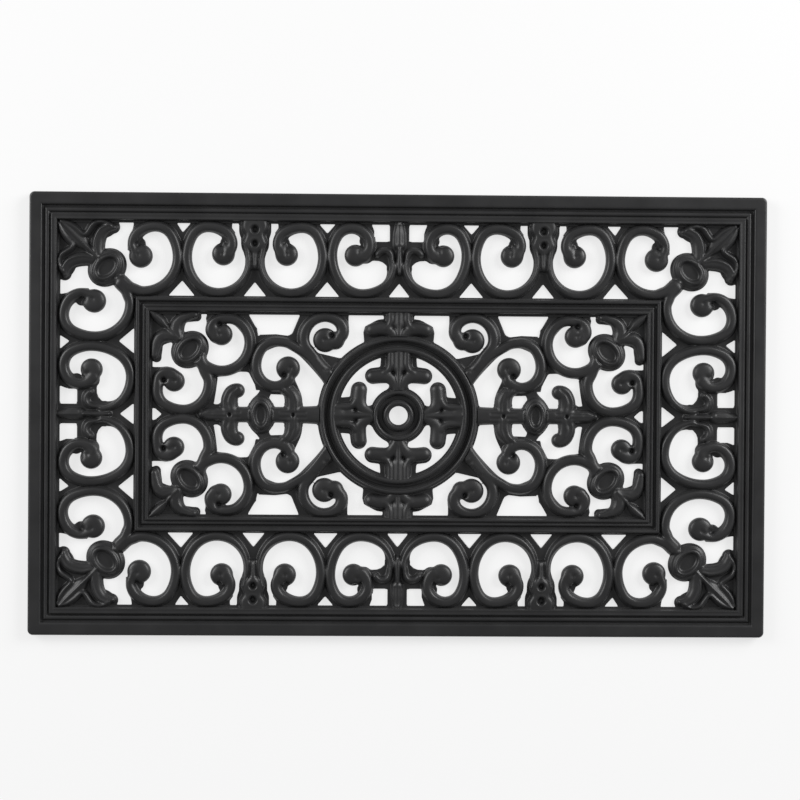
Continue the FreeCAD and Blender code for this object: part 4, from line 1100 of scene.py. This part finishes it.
def addPiece(node, points, faces, sharpAngle):
    mesh = bpy.data.meshes.new(node + "_rubber")
    mesh.from_pydata((points * 0.001).tolist(), [], faces)
    work = bmesh.new()
    work.from_mesh(mesh)
    bmesh.ops.remove_doubles(work, verts=work.verts, dist=1e-6)
    for face in work.faces:
        face.smooth = True
    for edge in work.edges:
        if len(edge.link_faces) == 2 and edge.calc_face_angle(0) > math.radians(sharpAngle):
            edge.smooth = False
    work.to_mesh(mesh)
    work.free()
    piece = inScene(node + "_rubber", mesh)
    mesh.materials.append(rubber)
    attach(piece, "root")
    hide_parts(node)


quarters = {"ne": (1, 1), "nw": (-1, 1), "se": (1, -1), "sw": (-1, -1)}
northSouth = {"north": (1, 1), "south": (1, -1)}
eastWest = {"east": (1, 1), "west": (-1, 1)}


def addMirrored(pattern, names, points, faces, sharpAngle):
    for name, (signX, signY) in names.items():
        placed = points * np.array([signX, signY, 1.0])
        turnedFaces = faces if signX * signY > 0 else [face[::-1] for face in faces]
        addPiece(pattern % name, placed, turnedFaces, sharpAngle)
    print(pattern % "/".join(names), len(faces), "faces each")


openwork = {
    # Shares of a mesh step: how near to the outline a point moves onto it, and how far inside it is firm
    "snapShare": 0.5,
    "firmShare": 0.2,
    "edgeShare": 0.3,
    "leastSlope": 0.3,
    "edgeDrop": 0.3,
    "webRise": 1.5,
    "sharpAngle": 75,
}


def reliefMesh(room, limits):
    # Top surface over the pattern inside the room, walls down to the floor and a flat underside
    step = fineness["relief"]
    xs = np.arange(room.real.min() - step, room.real.max() + 2 * step, step)
    ys = np.arange(room.imag.min() - step, room.imag.max() + 2 * step, step)
    x, y = np.meshgrid(xs, ys)
    border = regionDistance(room, limits, x, y)
    edge = sample(outline, x, y)
    inside = np.maximum(border, edge)
    slopeY, slopeX = np.gradient(inside, step)
    steep = np.maximum(np.hypot(slopeX, slopeY), openwork["leastSlope"])
    near = np.abs(inside) < step * openwork["snapShare"]
    shift = np.where(near, inside, 0) / steep
    x = x - shift * slopeX / steep
    y = y - shift * slopeY / steep
    kept = (inside <= 0) | near
    firm = inside < -step * openwork["firmShare"]
    height = sample(relief, x, y)
    top = lip + height - moulding["webDrop"] * np.clip(1 - height / openwork["webRise"], 0, 1)
    onEdge = near & (edge > border + step * openwork["edgeShare"])
    top = np.where(onEdge, top - openwork["edgeDrop"], top)
    points = np.stack([x, y, top], -1).reshape(-1, 3)
    numbers = np.arange(x.size).reshape(x.shape)
    corners, flags, firmFlags = [
        [grid[:-1, :-1], grid[:-1, 1:], grid[1:, 1:], grid[1:, :-1]] for grid in (numbers, kept, firm)
    ]
    total = sum(flag.astype(int) for flag in flags) * np.logical_or.reduce(firmFlags)
    faces = np.stack([corner[total == 4] for corner in corners], -1).tolist()
    for missing in range(4):
        chosen = (total == 3) & ~flags[missing]
        picked = [corners[(missing + turn) % 4][chosen] for turn in (1, 2, 3)]
        faces += np.stack(picked, -1).tolist()
    return closedMesh(points, faces)


def regionDistance(room, limits, x, y):
    spots = x + 1j * y
    border = polygonDistance(room, spots)
    for limit in limits:
        border = np.maximum(border, limit(spots))
    return border


def closedMesh(points, faces):
    # The top, walls round its rim, and a flat underside of the same faces turned over
    edges = {(start, end) for face in faces for start, end in zip(face, face[1:] + face[:1])}
    used = sorted({number for face in faces for number in face})
    order = {number: index for index, number in enumerate(used)}
    count = len(used)
    floor = points[used].copy()
    floor[:, 2] = 0
    top = [[order[number] for number in face] for face in faces]
    low = [[number + count for number in face[::-1]] for face in top]
    walls = []
    for start, end in edges:
        if (end, start) not in edges:
            walls.append([order[end], order[start], order[start] + count, order[end] + count])
    return np.concatenate([points[used], floor]), top + low + walls


def addOpenwork(pattern, names, room, limits=()):
    points, faces = reliefMesh(room, limits)
    addMirrored(pattern, names, points, faces, openwork["sharpAngle"])


def outsideCircle(radius):
    return lambda spots: radius - np.abs(spots)


def insideCircle(radius):
    return lambda spots: np.abs(spots) - radius


def outsideOf(places):
    return lambda spots: -polygonDistance(places, spots)


def scrollRoom(field, look, along):
    seam = look["seamHalf"] / along
    rows = [(0, 0), (1, 0), (1, 1), (seam, 1), (seam, look["seam"]), (0, look["seam"])]
    return field.room(rows)


def leafRoom(field, look, along):
    seam = look["seamHalf"] / along
    return field.room([(-seam, look["seam"]), (seam, look["seam"]), (seam, 1), (-seam, 1)])


cell = matSizes["cellLength"]
sideCell = matSizes["sideCellLength"]
addOpenwork("post_scroll_%s_outer", quarters, scrollRoom(eastward, postScroll, cell))
addOpenwork("post_scroll_%s_inner", quarters, scrollRoom(westward, postScroll, cell))
addOpenwork("leaf_scroll_%s_long", quarters, scrollRoom(longSide, leafScroll, cell))
addOpenwork("leaf_scroll_%s_short", quarters, scrollRoom(shortSide, leafScroll, sideCell))
addOpenwork("post_%s", quarters, leafRoom(eastward, postScroll, cell))
addOpenwork("side_leaf_%s", northSouth, leafRoom(longSide, leafScroll, cell))
addOpenwork("side_leaf_%s", eastWest, leafRoom(shortSide, leafScroll, sideCell))

# The corner is shared between its scrolls and its leaf
cornerLeafRoom = cornerField.room([
    (0.01, 0.31), (0.31, 0.01), (0.36, 0.085), (0.56, 0.085), (0.62, 0.125), (1.0, 0.125),
    (1.0, 1.0), (0.125, 1.0), (0.125, 0.62), (0.085, 0.56), (0.085, 0.36),
])
cornerRoom = np.array([
    complex(cornerStart[0], bandInner[1]), complex(*bandInner), complex(bandInner[0], cornerStart[1]),
    complex(bandOuter[0], cornerStart[1]), complex(*bandOuter), complex(cornerStart[0], bandOuter[1]),
])
addOpenwork("corner_scrolls_%s", quarters, cornerRoom, [outsideOf(cornerLeafRoom)])
addOpenwork("corner_leaf_%s", quarters, cornerLeafRoom)

# Inside the panel frame
ringOutside = outsideCircle(matSizes["ringRadius"])
sprayRoom = panelField.room([
    (0.797, 0.0), (1.0, 0.0), (1.0, 1.0), (0.540, 1.0), (0.570, 0.780), (0.630, 0.360),
    (0.730, 0.360), (0.738, 0.125), (0.770, 0.115),
])
ringScrollRoom = panelField.room([
    (0.175, 0.245), (0.605, 0.245), (0.620, 0.360), (0.630, 0.360), (0.570, 0.780), (0.540, 1.0),
    (0.175, 1.0),
])
ornamentRoom = panelField.room([
    (0.200, -0.245), (0.605, -0.245), (0.620, -0.360), (0.730, -0.360), (0.738, -0.125),
    (0.770, -0.115), (0.797, 0.0), (0.770, 0.115), (0.738, 0.125), (0.730, 0.360),
    (0.620, 0.360), (0.605, 0.245), (0.200, 0.245),
])
topRoom = panelField.room([(-0.175, 0.500), (0.175, 0.500), (0.175, 1.0), (-0.175, 1.0)])
addOpenwork("panel_spray_%s", quarters, sprayRoom)
addOpenwork("ring_scrolls_%s", quarters, ringScrollRoom, [ringOutside])
addOpenwork("side_ornament_%s", eastWest, ornamentRoom, [ringOutside])
addOpenwork("top_ornament_%s", northSouth, topRoom, [ringOutside])
leafLimits = [insideCircle(matSizes["ringInner"]), outsideCircle(matSizes["hubRadius"])]
wedge = [(0.0, 0.0), (1.2, 1.2), (-1.2, 1.2)]
addOpenwork("ring_leaf_%s", northSouth, ringNorth.room(wedge), leafLimits)
addOpenwork("ring_leaf_%s", eastWest, ringEast.room(wedge), leafLimits)
print("openwork built")


# Border, panel frame, ring and hub: moulded sections carried along straight runs and round corners

def smoothedSection(corners, sigma, start, end, step=0.05):
    # Heights across the section, with every edge a little rounded
    places = np.arange(start, end + step / 2, step)
    heights = np.interp(places, [corner[0] for corner in corners], [corner[1] for corner in corners])
    reach = int(bellReach * sigma / step)
    padded = np.pad(heights, reach, mode="edge")
    return places, np.convolve(padded, bell(reach, step, sigma), mode="valid")


def sectionRows(places, heights, tolerance=0.03, longest=1.6):
    # The fewest rows that keep the section's shape
    kept = [0]
    while kept[-1] < len(places) - 1:
        first = kept[-1]
        last = min(first + 2, len(places) - 1)
        while last < len(places) - 1 and places[last] - places[first] < longest:
            share = (places[first:last + 2] - places[first]) / (places[last + 1] - places[first])
            line = heights[first] + (heights[last + 1] - heights[first]) * share
            if np.abs(line - heights[first:last + 2]).max() > tolerance:
                break
            last += 1
        kept.append(last)
    return [(float(places[index]), float(heights[index])) for index in kept]


border = {
    "edgeRounding": 2.2,
    "section": [
        (0.0, 9.5), (12.1, 9.5), (13.1, 8.7), (13.7, 5.4), (15.5, 5.4), (16.1, 7.0), (17.2, 8.0),
        (19.2, 8.0), (20.2, 7.4), (20.8, 6.0), (21.6, 6.0), (22.3, 8.7), (23.2, 9.5), (24.3, 9.1),
        (26.3, 9.1), (27.4, 9.5), (28.2, 9.0), (28.9, 3.4), (31.0, 3.4),
    ],
    "softness": 0.22,
    # The low ledge that leaf tips and bars run over lies outside these two distances
    "lips": (0, 27.6),
}
panelFrame = {
    "section": [
        (0.0, 3.4), (1.2, 3.4), (1.9, 7.6), (2.8, 8.8), (5.0, 8.8), (5.7, 7.6), (6.2, 4.4),
        (8.2, 4.4), (8.8, 6.4), (9.7, 7.3), (10.9, 7.3), (11.6, 6.6), (12.3, 6.2), (12.9, 7.8),
        (13.6, 8.8), (15.3, 8.8), (16.0, 8.0), (16.8, 3.4), (19.0, 3.4),
    ],
    "softness": 0.25,
    "lips": (3.0, 16.0),
}
ring = {
    "section": [
        (62.4, 3.4), (64.6, 3.4), (65.4, 6.6), (66.6, 8.4), (68.4, 8.9), (70.0, 8.4), (71.2, 6.4),
        (71.7, 3.6), (72.4, 3.4), (73.2, 4.1), (74.0, 3.2), (75.6, 2.8), (76.3, 3.8), (76.9, 7.0),
        (77.8, 8.6), (79.2, 9.0), (80.6, 8.5), (81.6, 6.6), (82.2, 3.4), (84.0, 3.4),
    ],
    "softness": 0.25,
    "lips": (66.0, 81.8),
}
hub = {
    "section": [
        (9.7, 6.2), (10.6, 7.2), (11.6, 8.5), (13.0, 8.9), (14.6, 8.5), (15.6, 7.0), (16.2, 3.6),
        (17.0, 2.9), (20.6, 2.9), (21.4, 4.4), (22.0, 7.6), (23.2, 8.8), (24.8, 8.8), (26.0, 7.6),
        (26.8, 3.4), (29.5, 3.4),
    ],
    "softness": 0.25,
    "lips": (0, 26.2),
}


sweeps = {
    "cornerStart": 1.5,
    "leastRadius": 0.4,
    "cornerSteps": 7,
    "sharpAngle": 50,
}


def sweepRows(look):
    section = look["section"]
    places, heights = smoothedSection(section, look["softness"], section[0][0], section[-1][0])
    radius = look.get("edgeRounding", 0)
    fallen = np.sqrt(np.maximum(radius ** 2 - (radius - places) ** 2, 0)) - radius
    heights = np.where(places < radius, heights + fallen, heights)
    return sectionRows(places, heights)


def railColumns(halfLong, halfWide, rows, cornerRadius, step):
    # Places for one rail from mitre to mitre: columns by rows
    longest = halfLong - rows[-1][0] - sweeps["cornerStart"]
    straight = np.linspace(0, longest, int(longest / step) + 1)
    columns = []
    for inset, height in rows:
        radius = max(cornerRadius - inset, 0) + sweeps["leastRadius"]
        centreX = halfLong - inset - radius
        centreY = halfWide - inset - radius
        shares = np.linspace(0, 1, int((halfLong - longest) / step) + 2)[1:]
        turn = np.radians(np.linspace(90, 45, sweeps["cornerSteps"])[1:])
        run = np.concatenate([straight, longest + (centreX - longest) * shares])
        x = np.concatenate([run, centreX + radius * np.cos(turn)])
        y = np.concatenate([np.full(len(run), centreY + radius), centreY + radius * np.sin(turn)])
        columns.append(np.stack([x, y], -1))
    half = np.stack(columns, 1)
    other = half[:0:-1] * np.array([-1.0, 1.0])
    return np.concatenate([other, half])


def sweptMesh(places, heights, closed):
    # Closes the section with a flat underside and carries it along the columns
    count, rows = places.shape[:2]
    top = np.concatenate([places, heights[..., None]], -1)
    floor = top.copy()
    floor[..., 2] = 0
    loop = np.concatenate([top, floor[:, -1:], floor[:, :1]], 1)
    size = rows + 2
    numbers = np.arange(count * size).reshape(count, size)
    first = numbers if closed else numbers[:-1]
    second = np.roll(numbers, -1, 0) if closed else numbers[1:]
    corners = [first, second, np.roll(second, -1, 1), np.roll(first, -1, 1)]
    faces = np.stack(corners, -1).reshape(-1, 4).tolist()
    if not closed:
        faces.append(numbers[0].tolist())
        faces.append(numbers[-1][::-1].tolist())
    points = loop.reshape(-1, 3)
    return points, outward(points, faces)


def outward(points, faces):
    volume = 0.0
    for face in faces:
        for index in range(1, len(face) - 1):
            a, b, c = points[face[0]], points[face[index]], points[face[index + 1]]
            volume += a[0] * (b[1] * c[2] - b[2] * c[1]) + a[1] * (b[2] * c[0] - b[0] * c[2])
            volume += a[2] * (b[0] * c[1] - b[1] * c[0])
    return faces if volume > 0 else [face[::-1] for face in faces]


def sweptHeights(look, rows, places):
    # Leaf tips and bars run over the lips
    level = np.array([height for distance, height in rows])
    first, last = look["lips"]
    onLip = np.array([distance < first or distance > last for distance, height in rows])
    lifted = lip + sample(relief, places[..., 0], places[..., 1])
    return np.where(onLip[None, :], np.maximum(level, lifted), level)


def addRails(pattern, look, halfLong, halfWide, cornerRadius):
    rows = sweepRows(look)
    for names, sides in ((northSouth, (halfLong, halfWide)), (eastWest, (halfWide, halfLong))):
        places = railColumns(*sides, rows, cornerRadius, fineness["rail"])
        if names is eastWest:
            places = places[..., ::-1]
        points, faces = sweptMesh(places, sweptHeights(look, rows, places), False)
        addMirrored(pattern, names, points, faces, sweeps["sharpAngle"])


def addRound(label, look):
    rows = sweepRows(look)
    turn = np.radians(np.arange(0, 360, fineness["turn"]))
    radii = np.array([radius for radius, height in rows])
    places = np.stack([np.cos(turn)[:, None] * radii, np.sin(turn)[:, None] * radii], -1)
    points, faces = sweptMesh(places, sweptHeights(look, rows, places), True)
    addPiece(label, points, faces, sweeps["sharpAngle"])
    print(label, len(faces), "faces")


addRails("border_rail_%s", border, matSizes["length"] / 2, matSizes["width"] / 2, matSizes["cornerRadius"])
addRails("panel_frame_%s", panelFrame, *bandInner, 0.0)
addRound("ring", ring)
addRound("hub", hub)


# Floor, lights and camera

studio = {
    "floor": "#f2f2f2",
    "floorRoughness": 0.9,
    "floorSize": 60.0,
    # How bright the floor's even white is, and the share of plain paper that the camera sees beside it
    "glow": 0.69,
    "ownShare": 0.30,
    # Name, place and power
    "lamps": [
        ("right softbox", (2.35, 1.3, 1.3), 84.0),
        ("left softbox", (-2.45, 1.05, 1.3), 62.0),
    ],
    "lampSize": (1.8, 1.3),
    "surround": "#ffffff",
    "surroundStrength": 0.31,
    "lens": 85,
    "sensor": 36,
    "cameraPlace": (-0.04235, 0.03588, 1.95979),
    "cameraTurn": (-0.5862, -1.2814, 0.3915),
}


def paperSweep(look):
    material = bpy.data.materials.new("white paper sweep")
    material.use_nodes = True
    tree = material.node_tree
    paper = addNode(tree, "Principled BSDF", {
        "Base Color": linear(look["floor"]),
        "Roughness": look["floorRoughness"],
        "Specular IOR Level": 0.0,
    }, {})["BSDF"]
    # The camera sees part paper and part even white, so the shadow stays and the corners don't darken
    evenShare = 1 - look["ownShare"]
    white = addNode(tree, "ShaderNodeEmission", {"Strength": look["glow"] / evenShare}, {})["Emission"]
    rays = addNode(tree, "ShaderNodeLightPath", {}, {})
    seen = rays["Is Camera Ray"]
    for kind in ("Is Glossy Ray", "Is Transmission Ray"):
        seen = addNode(tree, "ShaderNodeMath", {}, {0: seen, 1: rays[kind]}, operation="MAXIMUM")["Value"]
    share = addNode(tree, "ShaderNodeMath", {1: evenShare}, {0: seen}, operation="MULTIPLY")["Value"]
    mixed = addNode(tree, "ShaderNodeMixShader", {}, {"Fac": share, 1: paper, 2: white})["Shader"]
    addNode(tree, "Material Output", {}, {"Surface": mixed})
    return material


def addFloor(look):
    mesh = bpy.data.meshes.new("floor")
    half = look["floorSize"] / 2
    corners = [(-half, -half, 0), (half, -half, 0), (half, half, 0), (-half, half, 0)]
    mesh.from_pydata(corners, [], [(0, 1, 2, 3)])
    mesh.materials.append(paperSweep(look))
    floor = inScene("floor", mesh)


def addLamp(name, place, power):
    light = bpy.data.lights.new(name, "AREA")
    light.shape = "RECTANGLE"
    light.size, light.size_y = studio["lampSize"]
    light.energy = power
    lamp = inScene(name, light)
    lamp.location = place
    lamp.rotation_euler = (-Vector(place)).to_track_quat("-Z", "Y").to_euler()


def addSurround(look):
    world = bpy.data.worlds.new("studio")
    bpy.context.scene.world = world
    world.use_nodes = True
    addNode(world.node_tree, "Background", {
        "Color": linear(look["surround"]),
        "Strength": look["surroundStrength"],
    }, {})


def addCamera(look):
    lens = bpy.data.cameras.new("camera")
    lens.lens = look["lens"]
    lens.sensor_width = look["sensor"]
    camera = inScene("camera", lens)
    camera.location = look["cameraPlace"]
    camera.rotation_euler = [math.radians(angle) for angle in look["cameraTurn"]]
    bpy.context.scene.camera = camera


addFloor(studio)
for row in studio["lamps"]:
    addLamp(*row)
addSurround(studio)
addCamera(studio)
bpy.context.scene.view_settings.view_transform = "Standard"
print("stage set")
